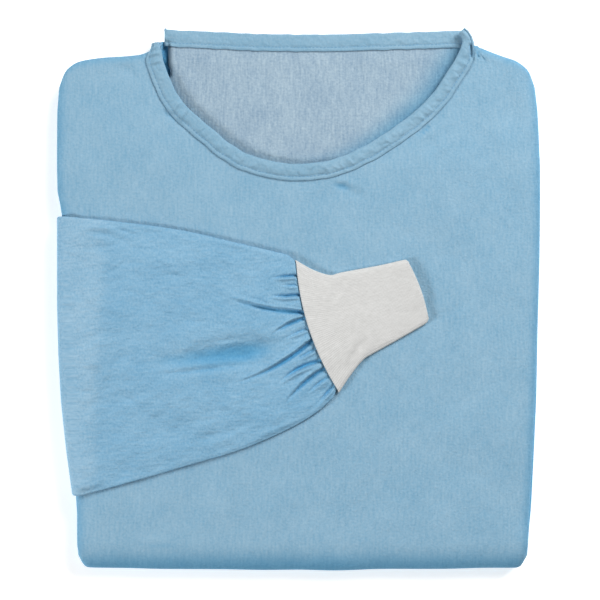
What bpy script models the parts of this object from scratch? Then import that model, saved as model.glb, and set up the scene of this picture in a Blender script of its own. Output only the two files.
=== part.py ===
"""Surgical gown, folded flat for its pack, lying on its back with the front up.

The sides are folded behind, then the skirt is folded under at the bottom. The
front panel is one cloth wall that runs down the top, round the bottom fold and
back along the underside, and its side edges roll in round the layers they hold.
The back panel shows its inner face through the neck, and one sleeve with its
knitted cuff comes round the left fold and lies across the front.

Plan sizes are millimetres: +X to the right, +Y towards the neck, +Z up.
The origin is under the middle of the fold, on the surface it rests on.
"""

import math
from collections import namedtuple

import bmesh
import bpy
import numpy as np

MM = 0.001

# Driving dimensions.
CLOTH = 1.2  # wall of one layer of cloth
GAP = 0.3  # between neighbouring pieces
STACK = 22.0  # folded body, from the table to the front's outer face
ROLL = 3.4  # radius of the rolled side and shoulder folds
SHOULDER_DROP = 3.0  # the body is this much thinner at the shoulders
DROP_FROM = 106.5  # where it starts to thin, towards the neck
DROP_OVER = 80.0
BACK_BELOW = 2.5  # back panel's face below the front panel's face
TAB_DROOP = 3.0  # fall of the back neck past the end of the stack
TAB_FROM = 190.0
TAB_REACH = 28.0
RETURN = 12.0  # cloth turned back inside a side fold
SHOULDER_RETURN = 1.5
END_ROLL = 1.6
WELD = 0.02

# The bottom fold: a long upper quarter and a shorter lower one.
FOLD_Y = -218.0
FOLD_UPPER = 24.0
FOLD_LOWER = 12.0
FOLD_NARROWS = 8.0  # the corners draw in by this much at the fold
SKIRT_END = 183.0  # top end of the run along the underside
SKIRT_TURN = 3.4
NECK_BOTTOM = (1.0, DROP_FROM)
CORNER_Y = 182.0  # where the sides turn into the shoulders

# Where the sides of each run lie, a row for each section, towards the neck.
Width = namedtuple("Width", "y left right")
TOP_RUN = [
    Width(FOLD_Y + FOLD_UPPER, -177.0, 184.5),
    Width(-156.0, -178.0, 187.0),
    Width(-119.0, -183.0, 189.0),
    Width(-81.0, -187.0, 190.5),
    Width(-44.0, -189.0, 191.5),
    Width(-6.0, -190.0, 192.5),
    Width(31.0, -190.0, 193.5),
    Width(69.0, -190.0, 194.0),
    Width(86.0, -194.0, 194.0),
    Width(DROP_FROM, -194.0, 194.0),
]
BESIDE_NECK = [
    Width(150.0, -194.0, 192.0),
    Width(170.0, -192.5, 190.0),
    Width(CORNER_Y, -188.0, 185.5),
]
UNDER_RUN = [
    Width(FOLD_Y + FOLD_LOWER, -178.5, 185.5),
    Width(-160.0, -179.5, 188.5),
    Width(-110.0, -186.0, 191.5),
    Width(-20.0, -191.0, 194.0),
    Width(140.0, -191.0, 191.0),
    Width(172.0, -184.0, 184.0),
    Width(SKIRT_END - SKIRT_TURN, -180.0, 180.0),
]

# Outlines in plan.
Plan = namedtuple("Plan", "x y")
LEFT_SHOULDER = [
    Plan(-188.0, CORNER_Y),
    Plan(-182.0, 188.0),
    Plan(-174.0, 191.5),
    Plan(-157.0, 194.0),
    Plan(-138.0, 195.0),
    Plan(-125.0, 197.0),
    Plan(-116.0, 201.0),
]
RIGHT_SHOULDER = [
    Plan(185.5, CORNER_Y),
    Plan(181.0, 187.0),
    Plan(174.0, 191.5),
    Plan(165.0, 194.5),
    Plan(153.0, 199.0),
    Plan(144.0, 203.0),
    Plan(136.5, 206.5),
]
# Inner edge of the front neckline, from each shoulder down to its middle.
LEFT_NECKLINE = [
    Plan(-111.0, 187.0),
    Plan(-97.0, 160.5),
    Plan(-78.0, 141.5),
    Plan(-48.0, 118.0),
    Plan(-22.0, 109.0),
    Plan(*NECK_BOTTOM),
]
RIGHT_NECKLINE = [
    Plan(120.0, 181.5),
    Plan(109.0, 164.0),
    Plan(93.0, 148.0),
    Plan(62.0, 126.0),
    Plan(30.0, 111.0),
    Plan(*NECK_BOTTOM),
]
# Top edge of the back panel: left shoulder, neck, right shoulder.
BACK_LEFT = [
    Plan(-182.0, 168.0),
    Plan(-176.0, 181.0),
    Plan(-164.0, 187.5),
    Plan(-140.0, 189.5),
    Plan(-113.0, 194.0),
    Plan(-109.5, 205.0),
]
BACK_NECK = [
    Plan(-108.0, 216.5),
    Plan(-50.0, 213.0),
    Plan(1.0, 211.5),
    Plan(70.0, 212.5),
    Plan(131.0, 215.0),
]
BACK_RIGHT = [
    Plan(132.0, 204.0),
    Plan(134.0, 196.0),
    Plan(150.0, 191.5),
    Plan(164.0, 188.0),
    Plan(176.0, 180.0),
    Plan(181.0, 166.0),
]
BACK_SHOULDER_Y = 165.0
BACK_FOOT_Y = -188.0
BACK_FOOT_X = (-170.0, 178.0)

BINDING_WIDTH = 11.6
BACK_BINDING_WIDTH = 12.4
BINDING_LEAF = 1.0
BINDING_GAP = 0.4
BINDING_END = 1.0  # how far the front binding runs past the shoulder

# Sleeve across the front, from the left fold to the cuff seam.
Section = namedtuple("Section", "upper lower crown bow")
SLEEVE = [
    Section(Plan(-187.0, 66.0), Plan(-174.5, -157.5), 3.2, 0.0),
    Section(Plan(-150.0, 63.5), Plan(-132.0, -146.0), 4.4, 0.0),
    Section(Plan(-96.5, 55.5), Plan(-86.0, -132.5), 5.8, 0.0),
    Section(Plan(-50.0, 45.0), Plan(-47.5, -121.0), 6.0, -1.0),
    Section(Plan(-22.0, 38.5), Plan(-12.0, -106.0), 6.0, -3.0),
    Section(Plan(-9.0, 35.0), Plan(14.0, -91.0), 5.6, -5.5),
    Section(Plan(-2.5, 30.5), Plan(31.5, -75.0), 4.4, -7.0),
]
SLEEVE_FOLD = 3.2  # height of the flattened sleeve at its two edges
SLEEVE_TUCK = 9.0  # cloth under the body, past the left fold
CUFF = [
    Section(Plan(-1.8, 30.7), Plan(32.8, -74.2), 4.2, -7.0),
    Section(Plan(11.5, 23.5), Plan(42.0, -60.5), 4.6, -6.0),
    Section(Plan(25.0, 19.5), Plan(51.0, -49.5), 4.6, -4.0),
    Section(Plan(35.0, 21.5), Plan(58.0, -44.5), 4.4, -3.0),
    Section(Plan(65.0, 27.0), Plan(80.5, -32.0), 4.2, -1.0),
    Section(Plan(88.0, 32.0), Plan(105.0, -16.5), 4.0, 0.0),
]
CUFF_FOLD = 3.4
# Gathers at the cuff seam: place across the sleeve, depth, width and length.
Pleat = namedtuple("Pleat", "across depth width length")
PLEATS = [
    Pleat(-0.62, 0.8, 0.06, 22.0),
    Pleat(-0.30, 1.2, 0.07, 60.0),
    Pleat(0.05, 0.9, 0.06, 24.0),
    Pleat(0.28, 1.3, 0.07, 70.0),
    Pleat(0.60, 1.0, 0.07, 40.0),
]
TROUGH = Pleat(0.02, 1.2, 0.18, 150.0)

# Hidden layers: bundles at their edges, from the table up. Each follows a run's
# sides at an inset, and those on the top run sink with the shoulders.
Bundle = namedtuple("Bundle", "run low high sinks inset groove")
BUNDLES = [
    Bundle(UNDER_RUN, 1.7, 5.1, 0.0, 2.4, 20.0),
    Bundle(UNDER_RUN, 7.1, 10.9, 0.0, 2.6, 9.0),
    Bundle(UNDER_RUN, 11.1, 14.9, 1.0, 4.5, 24.0),
    Bundle(TOP_RUN + BESIDE_NECK, 16.8, 18.0, 1.0, 2.8, 0.0),
]
BUNDLE_STEPS = 5
TUCKED = 2  # the bundle that stays clear of the tucked sleeve
TUCK_Y = (-163.0, 70.0)
TUCK_INSET = 17.5
HIDDEN_Y = [-190.0, -164.0, -162.0, -156.0, -119.0, -81.0, -44.0, -6.0, 31.0, 69.0]
HIDDEN_Y += [71.0, 86.0, DROP_FROM, 140.0, 160.0, 172.0]

# Mesh fineness.
NECK_ROWS = 11
BODY_ROWS = len(TOP_RUN)
FOLD_ROWS = 5
HALF_COLUMNS = 5
BACK_COLUMNS = 10
ROLL_STEPS = 4
WRAP_STEPS = 8
RING_UPPER = 16
RING_LOWER = 8
RING_EDGE = 4
SLEEVE_RINGS = 12
CUFF_RINGS = 9

BLUE = (0.27, 0.48, 0.64)
PALE_BLUE = (0.31, 0.53, 0.68)
INNER_GREY = (0.42, 0.53, 0.64)
KNIT_WHITE = (0.68, 0.68, 0.66)
CLOTH_ROUGHNESS = 0.82


def clear_scene():
    for obj in list(bpy.data.objects):
        bpy.data.objects.remove(obj)


def smoothstep(t):
    t = np.clip(t, 0.0, 1.0)
    return t * t * (3 - 2 * t)


def evenly(points, count):
    """count points evenly spaced along a polyline."""
    points = np.asarray(points, float)
    steps = np.linalg.norm(np.diff(points, axis=0), axis=1)
    along = np.concatenate([[0], np.cumsum(steps)])
    at = np.linspace(0, along[-1], count)
    return np.stack(
        [np.interp(at, along, points[:, k]) for k in range(points.shape[1])], axis=1
    )


def curve_through(points, count, fine=12):
    """count points evenly along a Catmull-Rom curve through points."""
    points = np.asarray(points, float)
    padded = np.vstack([2 * points[0] - points[1], points, 2 * points[-1] - points[-2]])
    t = np.linspace(0, 1, fine, endpoint=False)[:, None]
    spans = []
    for a, b, c, d in zip(padded, padded[1:], padded[2:], padded[3:]):
        spans.append(
            0.5
            * (
                2 * b
                + (c - a) * t
                + (2 * a - 5 * b + 4 * c - d) * t**2
                + (3 * b - 3 * c + d - a) * t**3
            )
        )
    return evenly(np.vstack([*spans, points[-1:]]), count)


def side_x(run, side, y):
    """x of a run's left (-1) or right (+1) side at y."""
    table = np.array(run, float)
    return np.interp(y, table[:, 0], table[:, 1 if side < 0 else 2])


def inward_normals(points, side):
    """Plan normals of an outline that climbs from the bottom fold to the neck.

    side is -1 on the left and +1 on the right."""
    tangent = np.gradient(np.asarray(points, float), axis=0)
    tangent /= np.linalg.norm(tangent, axis=1)[:, None]
    return -side * np.stack([tangent[:, 1], -tangent[:, 0]], axis=1)


def front_z(y):
    """Height of the front panel's outer face."""
    past = (np.asarray(y) - DROP_FROM) / DROP_OVER
    return STACK - SHOULDER_DROP * np.clip(past, 0.0, 1.0)


def back_z(y):
    """Height of the back panel's upper, inner face."""
    past = np.maximum(np.asarray(y) - TAB_FROM, 0.0)
    return front_z(y) - BACK_BELOW - TAB_DROOP * past / TAB_REACH


def mesh_object(name, bm, colour, wall=CLOTH):
    """Welds the faces in bm and makes them an object, with a wall inside them."""
    bmesh.ops.remove_doubles(bm, verts=bm.verts, dist=WELD)
    bmesh.ops.scale(bm, vec=(MM, MM, MM), verts=bm.verts)
    mesh = bpy.data.meshes.new(name)
    bm.to_mesh(mesh)
    bm.free()
    mesh.shade_smooth()
    mesh.set_sharp_from_angle(angle=math.radians(50))
    obj = bpy.data.objects.new(name, mesh)
    bpy.context.scene.collection.objects.link(obj)
    if wall:
        solidify = obj.modifiers.new("wall", "SOLIDIFY")
        solidify.thickness = wall * MM
        solidify.offset = -1.0
        solidify.use_quality_normals = True
    material = bpy.data.materials.new(name + "_cloth")
    material.use_nodes = True
    shader = material.node_tree.nodes["Principled BSDF"]
    shader.inputs["Base Color"].default_value = (*colour, 1.0)
    shader.inputs["Roughness"].default_value = CLOTH_ROUGHNESS
    shader.inputs["Metallic"].default_value = 0.0
    mesh.materials.append(material)
    return obj


def add_patch(bm, grid, outward, closed_across=False):
    """Adds a grid of points (rows, columns, 3) as quads that face outward."""
    grid = np.asarray(grid, float)
    across = np.cross(grid[1, 0] - grid[0, 0], grid[0, 1] - grid[0, 0])
    turned = np.dot(across, outward) < 0
    verts = [[bm.verts.new(point) for point in row] for row in grid]
    if closed_across:
        verts = [row + row[:1] for row in verts]
    for low, high in zip(verts, verts[1:]):
        for a, b, c, d in zip(low, high, high[1:], low[1:]):
            bm.faces.new((d, c, b, a) if turned else (a, b, c, d))
    return verts


def coons(top, bottom, left, right):
    """Points of a four-sided patch from its edges: rows from top to bottom."""
    u = np.linspace(0, 1, len(top))[None, :, None]
    v = np.linspace(0, 1, len(left))[:, None, None]
    ruled = (1 - v) * top[None] + v * bottom[None]
    crossed = (1 - u) * left[:, None] + u * right[:, None]
    corners = (1 - v) * ((1 - u) * top[0] + u * top[-1])
    corners = corners + v * ((1 - u) * bottom[0] + u * bottom[-1])
    return ruled + crossed - corners


def rolled_edge(flat, inward, normal, radius, turned_back):
    """The roll of cloth along an edge: half a turn, then the cloth inside it.

    flat is where the roll starts, inward and normal are unit vectors there."""
    turn = np.linspace(0, math.pi, ROLL_STEPS + 1)
    rows = [
        flat
        - inward * (radius * math.sin(t))[:, None]
        - normal * (radius * (1 - math.cos(t)))[:, None]
        for t in turn
    ]
    rows.append(rows[-1] + inward * turned_back[:, None])
    return np.stack(rows, axis=1)


def run_rows():
    """Path of the cloth below the neck: y, z and the normal's y and z, by row."""
    rows = [(w.y, STACK, 0.0, 1.0) for w in reversed(TOP_RUN)]
    half = STACK / 2
    for depth, quarter in ((FOLD_UPPER, 0), (FOLD_LOWER, 1)):
        for t in np.linspace(0, math.pi / 2, FOLD_ROWS + 1)[1:] + quarter * math.pi / 2:
            across = np.array([-half * math.sin(t), depth * math.cos(t)])
            across /= np.linalg.norm(across)
            y = FOLD_Y + depth * (1 - math.sin(t))
            rows.append((y, half + half * math.cos(t), *across))
    rows += [(w.y, 0.0, 0.0, -1.0) for w in UNDER_RUN[1:]]
    for t in (math.pi / 4, math.pi / 2):
        y = SKIRT_END - SKIRT_TURN + SKIRT_TURN * math.sin(t)
        rows.append((y, SKIRT_TURN * (1 - math.cos(t)), math.sin(t), -math.cos(t)))
    return np.array(rows)


def run_silhouette(rows, side):
    """x of one side on each row, drawn in at the corners of the bottom fold."""
    fold_end = BODY_ROWS + 2 * FOLD_ROWS
    x = np.concatenate(
        [
            side_x(TOP_RUN, side, rows[:BODY_ROWS, 0]),
            side_x(UNDER_RUN, side, rows[BODY_ROWS:, 0]),
        ]
    )
    around = np.sin(np.linspace(0, math.pi, 2 * FOLD_ROWS + 1)[1:])
    x[BODY_ROWS:fold_end] -= side * FOLD_NARROWS * around
    return x


def lift(plan, height):
    """Plan points with a height each."""
    return np.dstack([plan, height(plan[..., 1])])


def neckline(side):
    """Points of one half of the neck's cut edge, from the shoulder down."""
    shoulder, edge = (
        (LEFT_SHOULDER, LEFT_NECKLINE) if side < 0 else (RIGHT_SHOULDER, RIGHT_NECKLINE)
    )
    ends = curve_through(shoulder, HALF_COLUMNS + 1)[-2:]
    top = ends[-1] + inward_normals(ends, side)[-1] * ROLL
    return curve_through([top, *edge], NECK_ROWS + 1)


def front_half(side, rows):
    """Flat part beside the neck and the rolled edge of one half of the front."""
    silhouette = run_silhouette(rows, side)
    shoulder = LEFT_SHOULDER if side < 0 else RIGHT_SHOULDER
    shoulder = curve_through(shoulder, HALF_COLUMNS + 1)
    climb = np.linspace(NECK_BOTTOM[1], CORNER_Y, NECK_ROWS + 1)
    climb = np.stack([side_x(TOP_RUN + BESIDE_NECK, side, climb), climb], axis=1)
    below = np.stack([silhouette[:BODY_ROWS], rows[:BODY_ROWS, 0]], axis=1)[:0:-1]
    rim = np.vstack([below, climb, shoulder[1:]])
    inward = inward_normals(rim, side)
    flat = rim + inward * ROLL

    corner = len(below) + NECK_ROWS
    left = flat[len(below) : corner + 1][::-1]
    neck_edge = neckline(side)
    flat[-1] = neck_edge[0]
    bottom = np.linspace(left[-1], neck_edge[-1], HALF_COLUMNS + 1)
    beside_neck = lift(coons(flat[corner:], bottom, left, neck_edge), front_z)

    far = rows[BODY_ROWS:]
    radius = np.full(len(far), ROLL)
    radius[-2:] = END_ROLL
    turned_back = np.full(len(flat) + len(far), RETURN)
    turned_back[: HALF_COLUMNS + 1] = SHOULDER_RETURN
    turned_back[-2:] = SHOULDER_RETURN
    far_flat = silhouette[BODY_ROWS:] - side * radius
    place = np.column_stack([flat, front_z(flat[:, 1])])[::-1]
    place = np.vstack([place, np.column_stack([far_flat, far[:, :2]])])
    inward = np.column_stack([inward, np.zeros(len(inward))])[::-1]
    inward = np.vstack([inward, np.tile([-side, 0.0, 0.0], (len(far), 1))])
    normal = np.tile([0.0, 0.0, 1.0], (len(flat), 1))
    normal = np.vstack([normal, np.column_stack([np.zeros(len(far)), far[:, 2:]])])
    radius = np.concatenate([np.full(len(flat), ROLL), radius])
    roll = rolled_edge(place, inward, normal, radius, turned_back)
    return beside_neck, roll, place[NECK_ROWS + HALF_COLUMNS :, :2]


def front_panel():
    """One wall: shoulders, front, bottom fold and the skirt along the underside."""
    rows = run_rows()
    bm = bmesh.new()
    flats = []
    for side in (-1, 1):
        beside_neck, roll, flat = front_half(side, rows)
        add_patch(bm, beside_neck, (0, 0, 1))
        add_patch(bm, roll, (0, 0, 1))
        flats.append(flat)
    centre = np.column_stack([np.zeros(len(rows)), rows[:, 0]])
    centre[0, 0] = NECK_BOTTOM[0]
    t = np.linspace(0, 1, HALF_COLUMNS + 1)[None, :, None]
    left_part = (1 - t) * flats[0][:, None] + t * centre[:, None]
    right_part = (1 - t) * centre[:, None] + t * flats[1][:, None]
    plan = np.concatenate([left_part, right_part[:, 1:]], axis=1)
    height = np.repeat(rows[:, 1:2], plan.shape[1], axis=1)
    add_patch(bm, np.dstack([plan, height]), (0, 0, 1))
    return mesh_object("front_panel", bm, BLUE)


def back_neck():
    """Points of the back's neck edge, left to right."""
    return curve_through(BACK_NECK, BACK_COLUMNS)


def back_panel():
    """The back, inner face up, with its neck standing past the shoulders."""
    top = np.vstack([BACK_LEFT, back_neck(), BACK_RIGHT])
    share = (top[:, 0] - top[0, 0]) / (top[-1, 0] - top[0, 0])
    foot_x = BACK_FOOT_X[0] + share * (BACK_FOOT_X[1] - BACK_FOOT_X[0])
    foot = np.column_stack([foot_x, np.full(len(top), BACK_FOOT_Y)])
    rows = [top]
    for y in (TAB_FROM, BACK_SHOULDER_Y, DROP_FROM):
        row = top.copy()
        row[:, 1] = np.minimum(row[:, 1] - WELD, y)
        rows.append(row)
    rows += [(rows[-1] + foot) / 2, foot]
    bm = bmesh.new()
    add_patch(bm, lift(np.array(rows), back_z), (0, 0, 1))
    return mesh_object("back_panel", bm, INNER_GREY)


def binding(name, edge, away, width, height):
    """A strip folded over a cut edge: a leaf on the panel and a lip over the edge.

    edge is the panel's edge in plan, and away points from it into the panel."""
    lip_out, lip_in = -BINDING_GAP - BINDING_LEAF, -BINDING_GAP
    under, over = -CLOTH, BINDING_GAP
    profile = [
        (lip_out, under),
        (lip_in, under),
        (lip_in, over),
        (width, over),
        (width, over + BINDING_LEAF),
        (lip_out, over + BINDING_LEAF),
    ]
    rings = []
    for out, up in profile:
        plan = edge + away * out
        rings.append(np.column_stack([plan, height(plan[:, 1]) + up]))
    rings = np.stack(rings, axis=1)
    bm = bmesh.new()
    verts = add_patch(bm, rings, (0, 0, -1), closed_across=True)
    bm.faces.new(verts[0][:-1])
    bm.faces.new(verts[-1][:-1])
    bmesh.ops.recalc_face_normals(bm, faces=bm.faces)
    return mesh_object(name, bm, PALE_BLUE, wall=0)


def front_binding():
    """The strip round the front neckline, a little past each shoulder."""
    left, right = neckline(-1), neckline(1)
    edge = np.vstack([left, right[-2::-1]])
    for end, beside in ((0, 1), (-1, -2)):
        past = edge[end] - edge[beside]
        edge[end] += past / np.linalg.norm(past) * BINDING_END
    tangent = np.gradient(edge, axis=0)
    tangent /= np.linalg.norm(tangent, axis=1)[:, None]
    away = np.stack([tangent[:, 1], -tangent[:, 0]], axis=1)
    return binding("neck_binding_front", edge, away, BINDING_WIDTH, front_z)


def back_binding():
    """The strip along the top of the back, on its inner face."""
    edge = back_neck()
    away = np.tile([0.0, -1.0], (len(edge), 1))
    return binding("neck_binding_back", edge, away, BACK_BINDING_WIDTH, back_z)


def lobe(x_tip, inner, low, high, steps):
    """Rounded tip of a bundle of layers, from its lower face to its upper face."""
    half = (high - low) / 2
    turn = np.linspace(-math.pi / 2, math.pi / 2, steps)
    x = x_tip + inner * half * (1 - np.cos(turn))
    return np.column_stack([x, (low + high) / 2 + half * np.sin(turn)])


def side_section(side, y):
    """One side of the hidden layers at y, from the underside up."""
    lowered = STACK - float(front_z(y))
    points = []
    for index, bundle in enumerate(BUNDLES):
        edge = side_x(bundle.run, side, y)
        inset = bundle.inset
        if index == TUCKED and side < 0 and TUCK_Y[0] < y < TUCK_Y[1]:
            inset = TUCK_INSET
        low, high = bundle.low, bundle.high - lowered * bundle.sinks
        if index == len(BUNDLES) - 1:
            low -= lowered
        tip = lobe(edge - side * inset, -side, low, high, BUNDLE_STEPS)
        if points:
            points.append((points[-1][0], low))
        points.extend(tip)
        if bundle.groove:
            points.append((edge - side * bundle.groove, high))
    return np.array(points)


def hidden_layers():
    """Everything folded inside, as one rounded body with its bundles at the edges."""
    rings = []
    for y in HIDDEN_Y:
        left, right = side_section(-1, y), side_section(1, y)[::-1]
        outline = np.vstack([left, right])
        place = np.full(len(outline), y)
        rings.append(np.column_stack([outline[:, 0], place, outline[:, 1]]))
    bm = bmesh.new()
    verts = add_patch(bm, np.array(rings), (0, 0, -1), closed_across=True)
    for ring in (verts[0], verts[-1]):
        bm.faces.new(ring[:-1])
    bmesh.ops.recalc_face_normals(bm, faces=bm.faces)
    return mesh_object("hidden_layers", bm, BLUE, wall=0)


def ring_shape(fold):
    """A flattened ring: place across from -1 to 1, height, and share of crown."""
    half = fold / 2
    turn = np.linspace(-math.pi / 2, math.pi / 2, RING_EDGE + 1)
    upper = np.linspace(1, -1, RING_UPPER + 1)[1:-1]
    lower = np.linspace(-1, 1, RING_LOWER + 1)[1:-1]
    rows = [(1.0, half * math.cos(t), half + half * math.sin(t), 0.0) for t in turn]
    rows += [(a, 0.0, fold, 1.0) for a in upper]
    rows += [(-1.0, -half * math.cos(t), half - half * math.sin(t), 0.0) for t in turn]
    rows += [(a, 0.0, 0.0, 0.0) for a in lower]
    return np.array(rows)


def section_table(sections, count):
    """Smooth run of sections: upper x, y, lower x, y, crown and bow."""
    rows = [(*s.upper, *s.lower, s.crown, s.bow) for s in sections]
    return curve_through(rows, count)


def gathers(across, from_seam):
    """Depth of the gathers and of the long trough on the sleeve's upper face."""
    depth = np.zeros(np.broadcast(across, from_seam).shape)
    for pleat in (*PLEATS, TROUGH):
        shape = np.exp(-(((across - pleat.across) / pleat.width) ** 2))
        depth += pleat.depth * shape * smoothstep(1 - from_seam / pleat.length)
    return depth


def flat_tube(table, fold, pleated):
    """Rings of a flattened tube that lies on the front, section by section."""
    shape = ring_shape(fold)
    across, beyond, height, share = shape.T
    rings = []
    seam = (table[-1, :2] + table[-1, 2:4]) / 2
    for row in table:
        upper, lower, crown, bow = row[:2], row[2:4], row[4], row[5]
        side = (lower - upper) / np.linalg.norm(lower - upper)
        forward = np.array([-side[1], side[0]])
        inset = fold / 2
        half = np.linalg.norm(lower - upper) / 2 - inset
        plan = (upper + lower) / 2 + np.outer(across * half + beyond, side)
        plan += np.outer(bow * (1 - across**2), forward)
        swell = (crown - fold) * (1 - across**2) ** 0.5 * share
        if pleated:
            from_seam = np.linalg.norm((upper + lower) / 2 - seam)
            swell -= share * gathers(across, from_seam)
        z = STACK + GAP + height + swell
        rings.append(np.column_stack([plan, z]))
    return np.array(rings)


def sleeve():
    """Tube of the sleeve: tucked under the body, round the left fold, to the cuff."""
    table = section_table(SLEEVE, SLEEVE_RINGS)
    tube = flat_tube(table, SLEEVE_FOLD, pleated=True)
    first = tube[0]
    fold_x = side_x(TOP_RUN, -1, first[:, 1]) + ROLL - GAP
    rise = first[:, 2] - (STACK - ROLL)
    tube[0, :, 0] = fold_x
    wrap = []
    for turn in np.linspace(math.pi, 0, WRAP_STEPS + 1)[:-1]:
        x = fold_x - rise * math.sin(turn)
        z = STACK - ROLL + rise * math.cos(turn)
        wrap.append(np.column_stack([x, first[:, 1], z]))
    tucked = wrap[0] + np.array([SLEEVE_TUCK, 0.0, 0.0])
    rings = np.array([tucked, *wrap, *tube])
    bm = bmesh.new()
    outward = rings[0, 1] - rings[0].mean(axis=0)
    add_patch(bm, rings, outward, closed_across=True)
    return mesh_object("sleeve_right", bm, BLUE)


def cuff():
    """Knitted cuff, sewn to the gathered end of the sleeve."""
    tube = flat_tube(section_table(CUFF, CUFF_RINGS), CUFF_FOLD, pleated=False)
    bm = bmesh.new()
    outward = tube[0, 1] - tube[0].mean(axis=0)
    add_patch(bm, tube, outward, closed_across=True)
    return mesh_object("cuff_right", bm, KNIT_WHITE)


def main():
    clear_scene()
    front_panel()
    back_panel()
    front_binding()
    back_binding()
    hidden_layers()
    sleeve()
    cuff()


main()
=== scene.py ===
# %% [markdown]
# # A surgical gown, folded flat
#
# A disposable surgical gown comes out of its pack as a flat square of cloth, with the
# front up. This file dresses the solid model of that folded gown: every panel becomes a
# thin sheet with its creases, seams and stitches, and gets the finish of real nonwoven.
#
# All sizes in the cells are millimetres. +X runs to the right, +Y to the neck, +Z up.

import math
from collections import namedtuple

import bmesh
import bpy
import numpy as np
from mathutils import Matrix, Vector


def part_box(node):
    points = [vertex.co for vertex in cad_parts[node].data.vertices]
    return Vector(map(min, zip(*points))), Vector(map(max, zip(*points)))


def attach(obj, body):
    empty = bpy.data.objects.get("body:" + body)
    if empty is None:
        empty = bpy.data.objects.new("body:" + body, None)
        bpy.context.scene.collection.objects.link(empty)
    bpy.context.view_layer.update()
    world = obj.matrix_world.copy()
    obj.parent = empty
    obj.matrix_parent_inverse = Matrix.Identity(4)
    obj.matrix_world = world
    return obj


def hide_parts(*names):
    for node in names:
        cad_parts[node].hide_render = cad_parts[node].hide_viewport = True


MM = 0.001
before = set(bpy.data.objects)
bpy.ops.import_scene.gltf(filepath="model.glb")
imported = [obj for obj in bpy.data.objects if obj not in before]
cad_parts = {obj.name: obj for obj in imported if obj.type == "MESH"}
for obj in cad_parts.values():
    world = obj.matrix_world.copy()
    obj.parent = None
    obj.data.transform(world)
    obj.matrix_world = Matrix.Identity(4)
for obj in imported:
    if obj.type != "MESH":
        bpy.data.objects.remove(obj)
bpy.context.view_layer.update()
body_low, body_high = (np.array(corner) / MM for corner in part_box("front_panel"))
STACK = body_high[2]
print("folded body, mm:", (body_high - body_low).round(1))

# %% [markdown]
# ## Camera, table and light
#
# A folded garment lies flat under a camera straight above it, with a long lens that
# keeps its sides straight. The lens is 100 mm, and the camera's height follows from the
# width of table that the view spans. The table is white paper. A big soft light hangs
# over the neck end, which leaves the rounded bottom fold a little darker, and a lower,
# smaller one stands at the left to bring out the creases.

# %% Camera
VIEW_SPAN = 480.0
LENS, SENSOR = 100.0, 36.0
CAMERA_SHIFT = (1.2, -0.8)

camera_data = bpy.data.cameras.new("overhead_camera")
camera_data.lens = LENS
camera_data.sensor_width = SENSOR
camera_data.clip_end = 20.0
camera = bpy.data.objects.new("overhead_camera", camera_data)
height = STACK + VIEW_SPAN * LENS / SENSOR
camera.location = (CAMERA_SHIFT[0] * MM, CAMERA_SHIFT[1] * MM, height * MM)
bpy.context.scene.collection.objects.link(camera)
bpy.context.scene.camera = camera
view = bpy.context.scene.view_settings
view.view_transform = "Standard"
view.gamma = 0.82  # firmer middle tones, as in a printed catalogue
print("camera height, mm:", round(height))


# %% Colour and node helpers
def from_hex(code):
    """Linear colour of an sRGB hex code: the sRGB curve undone, channel by channel."""
    srgb = np.array([int(code[k : k + 2], 16) for k in (0, 2, 4)]) / 255
    linear = np.where(srgb <= 0.04045, srgb / 12.92, ((srgb + 0.055) / 1.055) ** 2.4)
    return (*linear.tolist(), 1.0)


def add_node(tree, kind, values=(), links=(), **settings):
    """Adds a node: its settings, its sockets' values and what feeds its sockets."""
    node = tree.nodes.new(kind)
    for name, value in settings.items():
        setattr(node, name, value)
    sockets = {socket.name: socket for socket in node.inputs if socket.enabled}
    for socket, value in dict(values).items():
        place = node.inputs[socket] if isinstance(socket, int) else sockets[socket]
        place.default_value = value
    for socket, source in dict(links).items():
        place = node.inputs[socket] if isinstance(socket, int) else sockets[socket]
        tree.links.new(source, place)
    return node


def new_material(name, roughness, **sockets):
    """A Principled material with its constants set on the shader itself."""
    material = bpy.data.materials.new(name)
    material.use_nodes = True
    shader = material.node_tree.nodes["Principled BSDF"]
    shader.inputs["Roughness"].default_value = roughness
    for socket, value in sockets.items():
        shader.inputs[socket.replace("_", " ")].default_value = value
    return material, material.node_tree, shader


def maths(tree, operation, *inputs):
    """A math node's result; each input is a constant or the socket that feeds it."""
    constant = [isinstance(value, (int, float)) for value in inputs]
    values = {k: value for k, value in enumerate(inputs) if constant[k]}
    links = {k: value for k, value in enumerate(inputs) if not constant[k]}
    return add_node(tree, "ShaderNodeMath", values, links, operation=operation).outputs[0]


def raised(tree, shader, relief, strength=1.0, height=1.0):
    """Bumps the shader's surface by a relief, times a height in millimetres."""
    values = {"Strength": strength, "Distance": height * MM}
    bump = add_node(tree, "ShaderNodeBump", values, {"Height": relief})
    tree.links.new(bump.outputs["Normal"], shader.inputs["Normal"])


# %% Table and lights
TABLE_SIZE = 8.0
PULP = 1 / 0.9  # a clump of paper fibres
TABLE_GLOW = 0.34  # a light table keeps the ground white up to the cloth


def white_paper():
    """Matt white paper on a light table, with a trace of its pulp in the bump."""
    material, tree, shader = new_material("white_paper", 0.9, Emission_Strength=TABLE_GLOW)
    shader.inputs["Emission Color"].default_value = (1.0, 1.0, 1.0, 1.0)
    shader.inputs["Base Color"].default_value = from_hex("FEFEFE")
    place = add_node(tree, "ShaderNodeTexCoord")
    links = {"Vector": place.outputs["Object"]}
    pulp = add_node(tree, "ShaderNodeTexNoise", {"Scale": 1 / (PULP * MM)}, links)
    raised(tree, shader, pulp.outputs["Fac"], 0.05, 0.1)
    return material


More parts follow.
